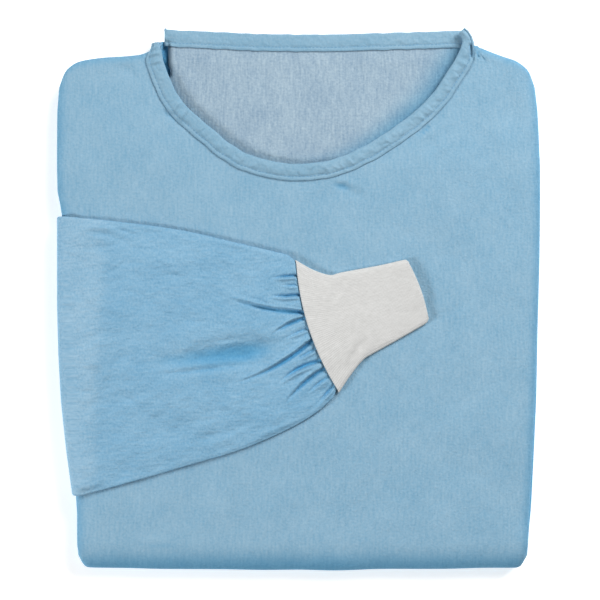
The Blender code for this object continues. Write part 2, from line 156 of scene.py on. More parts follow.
def soft_light(name, place, size, power):
    """A square white area light at a place in metres, turned to the gown's middle."""
    data = bpy.data.lights.new(name, "AREA")
    data.size = size
    data.energy = power
    light = bpy.data.objects.new(name, data)
    light.location = place
    x, y, z = place
    light.rotation_euler = (math.atan2(math.hypot(x, y), z), 0.0, math.atan2(x, -y))
    bpy.context.scene.collection.objects.link(light)


table_mesh = bpy.data.meshes.new("table")
half, under = TABLE_SIZE / 2, -0.1 * MM
corners = [(x * half, y * half, under) for x, y in ((-1, -1), (1, -1), (1, 1), (-1, 1))]
table_mesh.from_pydata(corners, [], [(0, 1, 2, 3)])
table = bpy.data.objects.new("table", table_mesh)
table_mesh.materials.append(white_paper())
bpy.context.scene.collection.objects.link(table)

soft_light("neck_end_softbox", (1.5, 1.6, 1.65), 1.4, 70.0)
soft_light("left_softbox", (-2.6, -1.0, 1.35), 0.7, 56.0)
world = bpy.data.worlds.new("studio")
world.use_nodes = True
world.node_tree.nodes["Background"].inputs["Color"].default_value = (1.0, 1.0, 1.0, 1.0)
world.node_tree.nodes["Background"].inputs["Strength"].default_value = 0.30
bpy.context.scene.world = world

# %% [markdown]
# ## Spunbond nonwoven
#
# The gown is SMS nonwoven polypropylene: fine filaments laid in a web, pressed between a
# smooth roller and an embossed one, with a meltblown layer in the middle. It is not
# woven, so there are no threads to draw. What the eye sees is the web itself: faint
# streaks along the roll, which the embossing lines up, a cloudy mottle where the web is
# thicker or thinner, and tiny crinkles from folding. The cloth lets some light through,
# so it looks deeper blue where it lies on itself several times, but the lamps alone show
# too little of that and of the shade in its folds. So the colour also carries painted
# shade: each point has a share, from 0 to 1, of a deeper blue tint, which darkens creases,
# the rounded bottom fold, the rolled edges and the shadow along the neckline. The
# patterns sit in the cloth's own coordinates, laid out flat in metres, so they follow it
# round every fold.

# %% Nonwoven material
STREAK = (1.6, 11.0)  # width and length of a streak in the web
FIBRE = 1.7  # a clump of filaments; a real one is finer and would not show
CLOUD = 26.0
CRINKLE = (4.0, 7.0)
SHARP_CRINKLE = (9.0, 15.0)
PAINTED_SHADE_TINT = (0.38, 0.73, 0.89, 1.0)  # painted shade: the tint where creases, edges and folds are shaded; partly cloth lying on itself


def cloth_pattern(tree, size, detail=2.0, roughness=0.5, kind="FBM", turn=0.0):
    """Noise in the cloth's own coordinates whose cells measure size, in millimetres."""
    place = add_node(tree, "ShaderNodeUVMap", uv_map="cloth")
    across, along = size
    scaled = add_node(
        tree,
        "ShaderNodeMapping",
        {"Scale": (1 / (across * MM), 1 / (along * MM), 1.0), "Rotation": (0, 0, turn)},
        {"Vector": place.outputs["UV"]},
    )
    noise = add_node(
        tree,
        "ShaderNodeTexNoise",
        {"Scale": 1.0, "Detail": detail, "Roughness": roughness},
        {"Vector": scaled.outputs["Vector"]},
        noise_dimensions="2D",
        noise_type=kind,
    )
    return noise.outputs["Fac"]


def folded_lines(tree, pattern):
    """Thin valleys where a pattern crosses its middle: its distance from 0.5."""
    return maths(tree, "ABSOLUTE", maths(tree, "SUBTRACT", pattern, 0.5))


def weighted(tree, parts):
    """Sum of patterns, each times its weight."""
    (first, pattern), *others = parts
    total = maths(tree, "MULTIPLY", pattern, first)
    for weight, pattern in others:
        total = maths(tree, "MULTIPLY_ADD", pattern, weight, total)
    return total


def between(tree, dark, light, shade, low, high):
    """A colour between two hex codes: dark where shade is low, light where it is high."""
    limits = {"From Min": low, "From Max": high}
    share = add_node(tree, "ShaderNodeMapRange", limits, {"Value": shade})
    return add_node(
        tree,
        "ShaderNodeMix",
        {"A": from_hex(dark), "B": from_hex(light)},
        {"Factor": share.outputs["Result"]},
        data_type="RGBA",
    ).outputs[2]


def nonwoven(place, dark, light, streaks, mottle, crinkles):
    """SMS nonwoven polypropylene: its colour runs from dark to light with the web.

    The smooth roller leaves it matt, with hardly any sheen. streaks, mottle and crinkles
    are the weights of those patterns in its colour and relief."""
    name = "sms_nonwoven_polypropylene_" + place
    material, tree, shader = new_material(
        name, 0.62, Specular_IOR_Level=0.22, Sheen_Weight=0.04, Sheen_Roughness=0.45
    )
    streak = cloth_pattern(tree, STREAK, 2.0, 0.5)
    fibre = cloth_pattern(tree, (FIBRE * 1.3, FIBRE), 2.0, 0.6)
    cloud = cloth_pattern(tree, (CLOUD, CLOUD * 1.3), 3.0, 0.55)
    crinkle = cloth_pattern(tree, CRINKLE, 3.0, 0.55, turn=0.5)
    sharp = folded_lines(tree, cloth_pattern(tree, SHARP_CRINKLE, 2.0, 0.6, turn=-0.4))
    shade = weighted(tree, [(streaks, streak), (mottle, fibre), (0.6, cloud)])
    middle = 0.5 * (streaks + mottle + 0.6)
    colour = between(tree, dark, light, shade, middle - 0.5, middle + 0.5)
    # Painted shade: the colour is multiplied towards a deeper blue by each point's share of
    # painted fold shade.
    fold = add_node(tree, "ShaderNodeAttribute", attribute_name="painted_fold_shade")
    shade_tinted = add_node(
        tree,
        "ShaderNodeMix",
        {"B": PAINTED_SHADE_TINT},
        {"Factor": fold.outputs["Fac"], "A": colour},
        data_type="RGBA",
        blend_type="MULTIPLY",
    )
    tree.links.new(shade_tinted.outputs[2], shader.inputs["Base Color"])
    relief = weighted(
        tree,
        [(0.22 * streaks, streak), (0.26, fibre), (crinkles, crinkle), (1.6 * crinkles, sharp)],
    )
    raised(tree, shader, relief)
    return material


outer_cloth = nonwoven("outer", "89B2CA", "A6C4D6", 0.8, 1.0, 0.34)
sleeve_cloth = nonwoven("sleeve", "89B4CE", "AECBDD", 0.6, 1.1, 0.60)
inner_cloth = nonwoven("inner", "91A9BD", "B9CBD6", 0.9, 1.0, 0.24)
binding_cloth = nonwoven("binding", "86AEC5", "A3C0D1", 0.4, 0.8, 0.34)


# %% [markdown]
# ## Tools for bending cloth
#
# Every piece below is a grid of points worked out at once with numpy. Four small tools
# do the bending. A smooth curve runs through a few chosen points. A swell is a sum of
# long waves in many directions, which makes cloth look relaxed instead of ironed. A
# crease is given one by one: a trough along a bowed line, with a raised lip beside it,
# fading out at its ends. The last tool turns a grid into a mesh with its cloth
# coordinates.

# %% Curves, swells and creases
def smoothstep(t):
    """0 before 0, 1 after 1, and 3t² - 2t³ between."""
    t = np.clip(t, 0.0, 1.0)
    return t * t * (3 - 2 * t)


def curve_through(points, count, fine=16):
    """Catmull-Rom curve through points, resampled at count even steps of its length."""
    points = np.asarray(points, float)
    padded = np.vstack([2 * points[0] - points[1], points, 2 * points[-1] - points[-2]])
    t = np.linspace(0, 1, fine, endpoint=False)[None, :, None]
    a, b, c, d = (padded[k : len(padded) - 3 + k, None] for k in range(4))
    spans = 0.5 * (
        2 * b
        + (c - a) * t
        + (2 * a - 5 * b + 4 * c - d) * t**2
        + (3 * b - 3 * c + d - a) * t**3
    )
    line = np.vstack([spans.reshape(-1, points.shape[1]), points[-1:]])
    return resampled(line, count)


def run_along(line):
    """Distance along a line of points from its start, at each of them."""
    steps = np.linalg.norm(np.diff(line, axis=0), axis=1)
    return np.append(0.0, np.cumsum(steps))


def resampled(line, count, weights=None):
    """count points along a polyline, at even steps or at the given shares of length."""
    along = run_along(line[:, :2])
    at = along[-1] * (np.linspace(0, 1, count) if weights is None else weights)
    return np.stack([np.interp(at, along, line[:, k]) for k in range(line.shape[1])], axis=1)


def normals_left(line):
    """Unit vectors to the left of a plan line's direction of travel."""
    tangent = np.gradient(line[:, :2], axis=0)
    tangent /= np.linalg.norm(tangent, axis=1)[:, None]
    return np.stack([-tangent[:, 1], tangent[:, 0]], axis=1)


def swell(x, y, wavelength, seed, stretch=1.0, waves=20):
    """Sum of sine waves in all directions, about 1 high, wavelength apart.

    stretch lengthens the waves along Y by that factor."""
    rng = np.random.default_rng(seed)
    turn = rng.uniform(0, 2 * math.pi, waves)
    length = wavelength * rng.uniform(0.7, 1.5, waves)
    phase = rng.uniform(0, 2 * math.pi, waves)
    total = np.zeros(np.broadcast(x, y).shape)
    for a, size, start in zip(turn, length, phase):
        along = x * math.cos(a) + y * math.sin(a) / stretch
        total += np.sin(2 * math.pi * along / size + start)
    return total * math.sqrt(2 / waves) / 1.6


def crumple(x, y, size, seed, stretch=1.0):
    """Creased patches: a swell folded at its middle, so that thin valleys meet."""
    bent = swell(x, y, size, seed, stretch)
    return np.minimum(abs(bent) * 1.6, 1.0) - 0.6


Crease = namedtuple("Crease", "x0 y0 x1 y1 bow depth width lip head tail")


def creased(x, y, creases):
    """Height of the listed creases at x, y.

    Each is a trough of its depth and width along a bowed line, exp(-s²) across, with a
    raised lip on one side. It fades in over its head and out over its tail, which are
    shares of its length."""
    total = np.zeros(np.broadcast(x, y).shape)
    for c in creases:
        run = np.array([c.x1 - c.x0, c.y1 - c.y0])
        length = np.linalg.norm(run)
        run /= length
        along = ((x - c.x0) * run[0] + (y - c.y0) * run[1]) / length
        off = (y - c.y0) * run[0] - (x - c.x0) * run[1] - 4 * c.bow * along * (1 - along)
        head = smoothstep(along / c.head) if c.head else (along > -0.08).astype(float)
        fade = head * smoothstep((1 - along) / c.tail)
        s = off / (c.width * (0.55 + 0.45 * fade))
        ridge = abs(c.lip) * np.exp(-((s * np.sign(c.lip) - 1.7) ** 2) / 1.3)
        total += c.depth * fade * (ridge - np.exp(-(s**2)))
    return total


# %% Grids into meshes
def grid_quads(rows, columns, closed=False):
    """Corner numbers of a grid's quads. A closed grid joins its last column to its first."""
    index = np.arange(rows * columns).reshape(rows, columns)
    if closed:
        index = np.hstack([index, index[:, :1]])
    corners = (index[:-1, :-1], index[:-1, 1:], index[1:, 1:], index[1:, :-1])
    return np.stack(corners, axis=-1).reshape(-1, 4)


def make_piece(
    name, points, faces, material, cloth=None, probe=None, depth=None, weld=0.02
):
    """A mesh object from points in mm and quads, with its flat cloth coordinates.

    A closed mesh has its faces turned outwards. On an open one, the face numbered probe
    is made to look up. depth is each point's share of painted shade, from 0 to 1. Points
    nearer than weld become one."""
    points = np.asarray(points, float).reshape(-1, 3)
    mesh = bpy.data.meshes.new(name)
    mesh.vertices.add(len(points))
    mesh.vertices.foreach_set("co", (points * MM).astype(np.float32).ravel())
    mesh.loops.add(faces.size)
    mesh.loops.foreach_set("vertex_index", faces.astype(np.int32).ravel())
    mesh.polygons.add(len(faces))
    mesh.polygons.foreach_set("loop_start", np.arange(0, faces.size, 4, dtype=np.int32))
    mesh.update(calc_edges=True)
    cloth = points[:, :2] if cloth is None else np.asarray(cloth, float).reshape(-1, 2)
    layer = mesh.uv_layers.new(name="cloth")
    layer.data.foreach_set("uv", (cloth[faces.ravel()] * MM).astype(np.float32).ravel())
    if depth is not None:
        values = mesh.attributes.new("painted_fold_shade", "FLOAT", "POINT")
        values.data.foreach_set("value", np.clip(depth, 0, 1).astype(np.float32).ravel())
    bm = bmesh.new()
    bm.from_mesh(mesh)
    bmesh.ops.remove_doubles(bm, verts=bm.verts, dist=weld * MM)
    bmesh.ops.recalc_face_normals(bm, faces=bm.faces)
    bm.faces.ensure_lookup_table()
    if probe is not None and bm.faces[probe].normal.z < 0:
        bmesh.ops.reverse_faces(bm, faces=bm.faces)
    bm.to_mesh(mesh)
    bm.free()
    mesh.shade_smooth()
    mesh.materials.append(material)
    piece = bpy.data.objects.new(name, mesh)
    bpy.context.scene.collection.objects.link(piece)
    return piece


def add_wall(piece, thickness):
    """Gives a sheet its thickness, inside the face that shows."""
    wall = piece.modifiers.new("wall", "SOLIDIFY")
    wall.thickness = thickness * MM
    wall.offset = -1.0
    wall.use_quality_normals = True


def dress(piece, slot, *nodes):
    """A piece rides on the one body and takes its nodes' place: they are hidden. slot is not
    used.
    """
    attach(piece, "root")
    if nodes:
        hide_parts(*nodes)
    triangles = 2 * len(piece.data.polygons)
    print(f"{piece.name}: {triangles} triangles before its wall")


# %% [markdown]
# ## The front
#
# The front is the largest piece. It was folded over the others, so in one run it goes
# from the shoulders down, round the bottom fold and back underneath. Its side edges roll
# in round the layers they hold. It could be draped by simulation, but a pack fold is
# pressed, and its outline matters more than its drape, so it is one grid: rows follow
# the run, columns go from side to side, and a rolled edge is added all round.
#
# The neck is a deep U. Grid points just inside it are moved onto its line and the rest
# are cut away, which leaves a clean edge for the binding to cover.

# %% Outline of the fold
DROP_FROM, DROP_OVER, SHOULDER_DROP = 106.5, 80.0, 3.0
ROLL_IN, ROLL_DOWN = 5.5, 3.4  # the rolled edge's radii, inwards and down
RETURN = 12.0
SIDE_FALL = 1.7  # how far the front falls towards its two sides
FOLD_UPPER, FOLD_LOWER = 24.0, 12.0
UNDER_END = 183.0
FOLD_Y = body_low[1]
TOP_START = FOLD_Y + FOLD_UPPER

Width = namedtuple("Width", "y left right")
# How far the top run's sides stand inside the solid's box, towards the neck.
TOP_RUN = [
    Width(TOP_START, 16.4, 9.8),
    Width(-156.0, 16.0, 7.6),
    Width(-119.0, 11.0, 5.6),
    Width(-81.0, 7.0, 3.8),
    Width(-44.0, 5.0, 2.7),
    Width(-6.0, 4.0, 1.5),
    Width(31.0, 4.0, 0.5),
    Width(69.0, 4.0, 0.0),
    Width(86.0, 0.5, 0.0),
    Width(DROP_FROM, 0.0, 0.0),
    Width(150.0, 0.0, 1.8),
    Width(170.0, 1.5, 4.0),
]
# The underside stands out a little further, so that its edge shows beside the top's.
UNDER_RUN = [
    Width(FOLD_Y + FOLD_LOWER, 15.2, 8.4),
    Width(-185.0, 14.4, 7.0),
    Width(-169.0, 14.2, 5.4),
    Width(-129.0, 11.0, 3.4),
    Width(-81.0, 5.5, 1.2),
    Width(-20.0, 3.0, 0.0),
    Width(140.0, 3.0, 3.0),
    Width(172.0, 10.0, 10.0),
    Width(UNDER_END, 15.0, 15.0),
]
Plan = namedtuple("Plan", "x y")
# Corner and shoulder outlines, from the side to the neck.
LEFT_SHOULDER = [
    Plan(-188.0, 182.0),
    Plan(-182.0, 188.0),
    Plan(-174.0, 191.5),
    Plan(-157.0, 194.0),
    Plan(-138.0, 195.2),
    Plan(-125.0, 197.0),
    Plan(-116.0, 201.5),
]
RIGHT_SHOULDER = [
    Plan(185.5, 182.0),
    Plan(181.0, 187.0),
    Plan(174.0, 191.5),
    Plan(165.0, 194.5),
    Plan(153.0, 199.0),
    Plan(144.0, 203.0),
    Plan(136.5, 206.5),
]
NECKLINE = [
    Plan(-113.0, 204.0),
    Plan(-110.8, 195.0),
    Plan(-107.8, 184.0),
    Plan(-97.0, 160.5),
    Plan(-78.0, 141.5),
    Plan(-48.0, 118.0),
    Plan(-22.0, 109.0),
    Plan(1.0, 106.5),
    Plan(30.0, 111.0),
    Plan(62.0, 126.0),
    Plan(93.0, 148.0),
    Plan(109.0, 164.0),
    Plan(121.0, 182.0),
    Plan(129.5, 196.0),
    Plan(133.0, 205.5),
]


def side_x(run, side, y):
    """x of a run's left (-1) or right (+1) side at y: the box's side less the inset."""
    table = np.array(run, float)
    inset = np.interp(y, table[:, 0], table[:, 1 if side < 0 else 2])
    return (body_low[0] + inset) if side < 0 else (body_high[0] - inset)


def front_z(y):
    """The body's top, level and then sloping down to the shoulders."""
    return STACK - SHOULDER_DROP * np.clip((y - DROP_FROM) / DROP_OVER, 0.0, 1.0)


neck_line = curve_through(NECKLINE, 400)
print("neckline length, mm:", round(run_along(neck_line)[-1]))

# %% Creases of the front
FRONT_CREASES = [
    # x0, y0, x1, y1, bow, depth, width, lip, head, tail
    Crease(26.0, 91.0, 44.0, 88.0, 1.0, 1.1, 2.2, 0.5, 0.4, 0.4),
    Crease(30.0, 86.0, 58.0, 80.0, 2.0, 0.5, 4.0, 0.5, 0.5, 0.5),
    Crease(108.0, 141.0, 92.0, 127.0, 0.5, 0.9, 1.8, 0.7, 0.3, 0.6),
    Crease(112.0, 134.0, 100.0, 112.0, 1.5, 0.5, 4.0, 0.6, 0.5, 0.6),
    Crease(-112.0, 152.0, -92.0, 140.0, 1.0, 0.7, 2.6, 0.6, 0.5, 0.5),
    Crease(-104.0, 144.0, -82.0, 137.0, -1.0, 0.5, 3.4, 0.6, 0.5, 0.5),
    Crease(-150.0, 187.0, -128.0, 176.0, 2.0, 0.6, 4.5, 0.5, 0.5, 0.5),
    Crease(138.0, 205.0, 138.5, 189.0, 0.8, 1.5, 1.5, 0.8, 0.1, 0.5),
    Crease(142.0, 203.0, 144.0, 190.0, 0.9, 1.5, 1.5, 0.8, 0.1, 0.5),
    Crease(146.0, 200.0, 149.0, 188.0, 0.6, 0.9, 1.5, 0.7, 0.1, 0.6),
    Crease(172.0, 176.0, 168.0, 120.0, 3.0, 1.0, 11.0, 0.5, 0.5, 0.5),
    Crease(-176.0, 160.0, -160.0, 100.0, -4.0, 0.7, 12.0, 0.4, 0.5, 0.5),
    Crease(60.0, 60.0, 150.0, 20.0, 6.0, 0.5, 16.0, 0.4, 0.5, 0.5),
    Crease(70.0, -90.0, 160.0, -150.0, -6.0, 0.5, 18.0, 0.4, 0.5, 0.5),
    Crease(-132.0, -197.0, -92.0, -198.0, 1.0, 0.5, 2.0, 0.7, 0.4, 0.4),
]


def front_relief(x, y):
    """Heights of the front above its plain run: slow swells, then the creases."""
    calm = smoothstep((y - TOP_START) / 30) * smoothstep((190 - abs(x)) / 18)
    to_side = np.minimum(x - side_x(TOP_RUN, -1, y), side_x(TOP_RUN, 1, y) - x)
    falls = -SIDE_FALL * (1 - smoothstep(to_side / 20.0)) * smoothstep((y - TOP_START) / 20)
    slow = 0.55 * swell(x, y, 95.0, 3) + 0.22 * swell(x, y, 34.0, 4, 1.4)
    fine = 0.09 * swell(x, y, 9.0, 5, 1.6, 40) + 0.22 * crumple(x, y, 46.0, 6, 1.5)
    creases = 1.7 * creased(x, y, FRONT_CREASES) * smoothstep((192 - abs(x)) / 8)
    return falls + calm * (slow + fine) + creases


def front_top(x, y):
    """Height of the front's outer face anywhere on its upper side."""
    return front_z(y) + front_relief(x, y)


# %% The front's grid
FRONT_STEP = 2.3
FOLD_STEPS = 22
UNDER_STEP = 11.0
TURN_STEPS = 7
BOTTOM_BOW = 2.2  # the bottom edge bows out in the middle


def offset_line(line, distance):
    """A plan line moved to its right by distance."""
    return line - normals_left(line) * distance


def plan_patch(bottom, top, left, right):
    """Coons patch: rows blend bottom to top, columns left to right, less the corners."""
    u = np.linspace(0, 1, len(bottom))[None, :, None]
    v = np.linspace(0, 1, len(left))[:, None, None]
    ruled = (1 - v) * bottom[None] + v * top[None]
    crossed = (1 - u) * left[:, None] + u * right[:, None]
    corners = (1 - v) * ((1 - u) * bottom[0] + u * bottom[-1])
    corners = corners + v * ((1 - u) * top[0] + u * top[-1])
    return ruled + crossed - corners


def rim_line(side, shoulder):
    """A side and its shoulder as one smooth line, inside the rolled edge."""
    rows = np.linspace(TOP_START, 170.0, 40)
    up = np.stack([side_x(TOP_RUN, side, rows), rows], axis=1)
    round_corner = curve_through([Plan(*up[-1]), *shoulder], 60)[1:]
    line = resampled(np.vstack([up, round_corner]), 400)
    return offset_line(line, ROLL_IN * -side)


def split_at_corner(line, side):
    """Cuts a rim line where it turns from the side into the shoulder."""
    score = line[:, 1] + side * line[:, 0]
    corner = int(np.argmax(score))
    return line[: corner + 1], line[corner:]


left_side, left_top = split_at_corner(rim_line(-1, LEFT_SHOULDER), -1)
right_side, right_top = split_at_corner(rim_line(1, RIGHT_SHOULDER), 1)
columns = int((body_high[0] - body_low[0]) / FRONT_STEP)
rows = int((body_high[1] - TOP_START) / FRONT_STEP)
across_top = resampled(np.vstack([left_top, right_top[::-1]]), columns)
across_bottom = np.linspace(left_side[0], right_side[0], columns)
plan = plan_patch(
    across_bottom, across_top, resampled(left_side, rows), resampled(right_side, rows)
)[::-1]
shoulder_ends = (
    int(np.argmin(abs(across_top[:, 0] - left_top[-1, 0]))),
    int(np.argmin(abs(across_top[:, 0] - right_top[-1, 0]))),
)
print("front grid:", plan.shape[:2])


# %% Round the bottom fold and underneath
def under_rows():
    """y, z, normal and run length of each row from the bottom fold to the skirt's end.

    The fold is two quarter ellipses, a long upper one and a short lower one."""
    half = STACK / 2
    turn = np.linspace(0, math.pi, FOLD_STEPS + 1)[1:]
    depth = np.where(turn < math.pi / 2, FOLD_UPPER, FOLD_LOWER)
    y = FOLD_Y + depth * (1 - np.sin(turn))
    z = half + half * np.cos(turn)
    normal = np.stack([-half * np.sin(turn), depth * np.cos(turn)], axis=1)
    flat_y = np.arange(y[-1] + UNDER_STEP, UNDER_END - 3, UNDER_STEP)
    y = np.concatenate([y, flat_y])
    z = np.concatenate([z, np.zeros(len(flat_y))])
    normal = np.vstack([normal, np.tile([0.0, -1.0], (len(flat_y), 1))])
    normal /= np.linalg.norm(normal, axis=1)[:, None]
    path = np.column_stack([y, z])
    start = np.array([[TOP_START, STACK]])
    run = np.cumsum(np.linalg.norm(np.diff(np.vstack([start, path]), axis=0), axis=1))
    return path, normal, run


path, path_normal, path_run = under_rows()
around = np.sin(np.clip(np.arange(1, len(path) + 1) / FOLD_STEPS, 0, 1) * math.pi)
share = np.linspace(0, 1, columns)[None, :]
low_sides = []
for side, run_start in ((-1, left_side[0, 0]), (1, right_side[0, 0])):
    under = side_x(UNDER_RUN, side, path[:, 0]) - side * ROLL_IN
    blend = smoothstep(np.arange(1, len(path) + 1) / FOLD_STEPS)
    low_sides.append(run_start * (1 - blend) + under * blend - side * 5.0 * around**2)
low_x = low_sides[0][:, None] * (1 - share) + low_sides[1][:, None] * share
edge_share = np.abs(2 * share - 1)
low_y = path[:, :1] + BOTTOM_BOW * around[:, None] * (edge_share**2 - 0.25)
wave = 0.5 * swell(low_x, path_run[:, None], 60.0, 8, 1.0)
wave = wave * around[:, None] * 0.8
low_y = low_y + wave * path_normal[:, :1]
low_z = path[:, 1:] + wave * path_normal[:, 1:]
low_grid = np.dstack([low_x, low_y, low_z])

top_grid = np.dstack([plan, front_top(plan[..., 0], plan[..., 1])])
front_grid = np.vstack([top_grid, low_grid])
top_normal = np.tile([0.0, 1.0], (len(plan), 1))
row_normal = np.vstack([top_normal, path_normal])
cloth_grid = np.vstack(
    [plan, np.dstack([low_x, TOP_START - path_run[:, None] + 0 * low_x])]
)
print("front and under rows:", front_grid.shape)


# %% Rolled edge
def rolled_edge(flat, cloth, inward, normal, turned_back):
    """The roll along a rim: half an ellipse out and under, then the cloth turned back.

    Returns its points, and where they lie on the flat cloth."""
    turn = np.linspace(0, math.pi, TURN_STEPS + 1)
    out = ROLL_IN * np.sin(turn)
    down = ROLL_DOWN * (1 - np.cos(turn))
    arc = run_along(np.column_stack([out, down]))
    out = np.append(out, -RETURN)
    down = np.append(down, 2 * ROLL_DOWN)
    arc = np.append(arc, arc[-1] + RETURN)
    points = flat[:, None] - inward[:, None] * out[None, :, None]
    points = points - normal[:, None] * down[None, :, None]
    points[:, -1] = points[:, -2] + inward * turned_back[:, None]
    laid = cloth[:, None] - inward[:, None, :2] * arc[None, :, None]
    return points, laid


def rim_of(side):
    """The grid's rim on one side: along the shoulder from the neck, then down."""
    if side < 0:
        shoulder, column = np.arange(shoulder_ends[0], 0, -1), 0
    else:
        shoulder, column = np.arange(shoulder_ends[1], columns - 1), columns - 1
    row = np.concatenate([0 * shoulder, np.arange(len(front_grid))])
    place = np.concatenate([shoulder, np.full(len(front_grid), column)])
    flat, cloth = front_grid[row, place], cloth_grid[row, place]
    top_count = len(shoulder) + len(plan)
    inward = np.zeros((len(row), 3))
    inward[:top_count, :2] = normals_left(flat[:top_count]) * -side
    inward[top_count:, 0] = -side
    normal = np.zeros((len(row), 3))
    normal[:, 2] = 1.0
    normal[len(shoulder) :, 1:] = row_normal
    turned_back = np.full(len(row), RETURN)
    turned_back[: len(shoulder) + 2] = 2.0
    turned_back[-2:] = 2.0
    return rolled_edge(flat, cloth, inward, normal, turned_back)


# %% Cut the neck and build the front
CLOTH = 0.5  # a real layer is about 0.35 mm; this is thick enough for its edge to show


def neck_floor(x):
    """y of the neckline at x, and far above the gown beyond its two ends."""
    y = np.interp(x, neck_line[:, 0], neck_line[:, 1])
    outside = (x < neck_line[0, 0]) | (x > neck_line[-1, 0])
    return np.where(outside, 1e3, y)


points = front_grid.reshape(-1, 3)
in_neck = (points[:, 1] > neck_floor(points[:, 0])) & (points[:, 2] > STACK / 2)
inside = np.flatnonzero(in_neck)
away = np.linalg.norm(points[inside, None, :2] - neck_line[None], axis=2)
nearest = away.argmin(axis=1)
snap = away.min(axis=1) < 0.75 * FRONT_STEP
moved = inside[snap]
points[moved, :2] = neck_line[nearest[snap]]
points[moved, 2] = front_top(points[moved, 0], points[moved, 1])
cut = np.zeros(len(points), bool)
cut[inside[~snap]] = True
snapped = np.zeros(len(points), bool)
snapped[moved] = True

quads = grid_quads(*front_grid.shape[:2])
quads = quads[~cut[quads].any(axis=1) & ~snapped[quads].all(axis=1)]
all_points, all_cloth, all_quads = [points], [cloth_grid.reshape(-1, 2)], [quads]
count = len(points)
for side in (-1, 1):
    roll_points, roll_cloth = rim_of(side)
    roll_quads = grid_quads(*roll_points.shape[:2])
    if side > 0:
        roll_quads = roll_quads[:, ::-1]
    all_points.append(roll_points.reshape(-1, 3))
    all_cloth.append(roll_cloth.reshape(-1, 2))
    all_quads.append(roll_quads + count)
    count += roll_points.shape[0] * roll_points.shape[1]
front_points = np.vstack(all_points)
px, py, pz = front_points.T
to_side = np.minimum(px - side_x(TOP_RUN, -1, py), side_x(TOP_RUN, 1, py) - px)
over_neck = Plan(0.0, body_high[1] + 12)  # no shoulder above the neck, so no painted shade there
shoulder_line = np.array([*LEFT_SHOULDER, over_neck, *RIGHT_SHOULDER[::-1]])
shoulder_y = np.interp(px, *shoulder_line.T)
# Painted shade on the front: darker towards its rolled sides and shoulders, over the rounded
# bottom fold and in the narrow creases.
front_painted_shade = 0.55 * (1 - smoothstep(to_side / 11.0)) ** 1.5
front_painted_shade = np.maximum(front_painted_shade, 0.5 * (1 - smoothstep((shoulder_y - py) / 9.0)) ** 1.5)
front_painted_shade = np.maximum(front_painted_shade, smoothstep((FOLD_Y + 21 - py) / 20) ** 1.1 * 0.75)
narrow_creases = [crease for crease in FRONT_CREASES if crease.width < 3]
front_painted_shade = np.maximum(front_painted_shade, np.clip(-creased(px, py, narrow_creases) * 0.6, 0, 0.6))
# Painted shadow: a dark line along the underside's edge, below the top's rolled edge.
painted_edge_shadow = (to_side < 0.5) & (pz < 7.5) & (pz > 0.5) & (py > FOLD_Y + 14)
front_painted_shade = np.where(painted_edge_shadow, 1.0, front_painted_shade)
front = make_piece(
    "front",
    front_points,
    np.vstack(all_quads),
    outer_cloth,
    np.vstack(all_cloth),
    probe=columns * 100 + columns // 2,
    depth=front_painted_shade,
)
add_wall(front, CLOTH)
dress(front, "outer_nonwoven", "front_panel")


# %% [markdown]
# ## The back
#
# Through the neck the inner face of the back shows. It is the same cloth, seen from the
# side that is laid against the wearer, which is greyer and more open, because the blue
# layer lies behind a white one. It is a plain sheet with slow waves, most of it hidden.

# %% Back sheet
BACK_BELOW, TAB_DROOP, TAB_FROM, TAB_REACH = 4.0, 2.0, 190.0, 28.0
BACK_TOP = [
    Plan(-106.5, 216.8),
    Plan(-103.0, 215.2),
    Plan(-50.0, 212.6),
    Plan(1.0, 211.3),
    Plan(30.0, 211.4),
    Plan(70.0, 212.6),
    Plan(133.8, 214.6),
]
BACK_LEFT = [
    Plan(-106.5, 216.8),
    Plan(-104.6, 208.0),
    Plan(-104.2, 190.0),
    Plan(-105.5, 176.0),
    Plan(-140.0, 140.0),
    Plan(-172.0, 100.0),
    Plan(-170.0, -188.0),
]
BACK_RIGHT = [
    Plan(133.8, 214.6),
    Plan(134.0, 204.0),
    Plan(138.0, 194.0),
    Plan(164.0, 170.0),
    Plan(181.0, 120.0),
    Plan(178.0, -188.0),
]
BACK_COLUMNS, BACK_ROWS = 130, 110
BACK_CREASES = [
    Crease(-103.0, 176.0, -104.5, 208.0, 0.5, 1.3, 1.6, -0.9, 0.1, 0.2),
    Crease(-96.0, 200.0, -70.0, 158.0, 3.0, 0.4, 6.0, 0.4, 0.4, 0.4),
    Crease(126.0, 206.0, 112.0, 176.0, 2.0, 0.8, 5.0, -0.5, 0.3, 0.4),
    Crease(40.0, 205.0, 52.0, 150.0, 3.0, 0.35, 5.0, 0.5, 0.4, 0.5),
    Crease(-30.0, 204.0, -22.0, 140.0, -3.0, 0.35, 6.0, 0.5, 0.4, 0.5),
]


def back_z(y):
    """Height of the back's upper face, drooping where it stands past the shoulders."""
    past = np.maximum(np.asarray(y) - TAB_FROM, 0.0)
    return front_z(y) - BACK_BELOW - TAB_DROOP * past / TAB_REACH


def back_top(x, y):
    """The back's height with its waves."""
    waves = 0.35 * swell(x, y, 70.0, 21, 1.8) + 0.06 * swell(x, y, 8.0, 22, 2.5, 40)
    line = neck_line[::8]
    to_neck = np.hypot(x[..., None] - line[:, 0], y[..., None] - line[:, 1]).min(axis=-1)
    sags = 1.7 * (0.2 + 0.8 * smoothstep(x / 90)) * np.exp(-((to_neck / 9.0) ** 2))
    return back_z(y) + waves - sags + creased(x, y, BACK_CREASES)


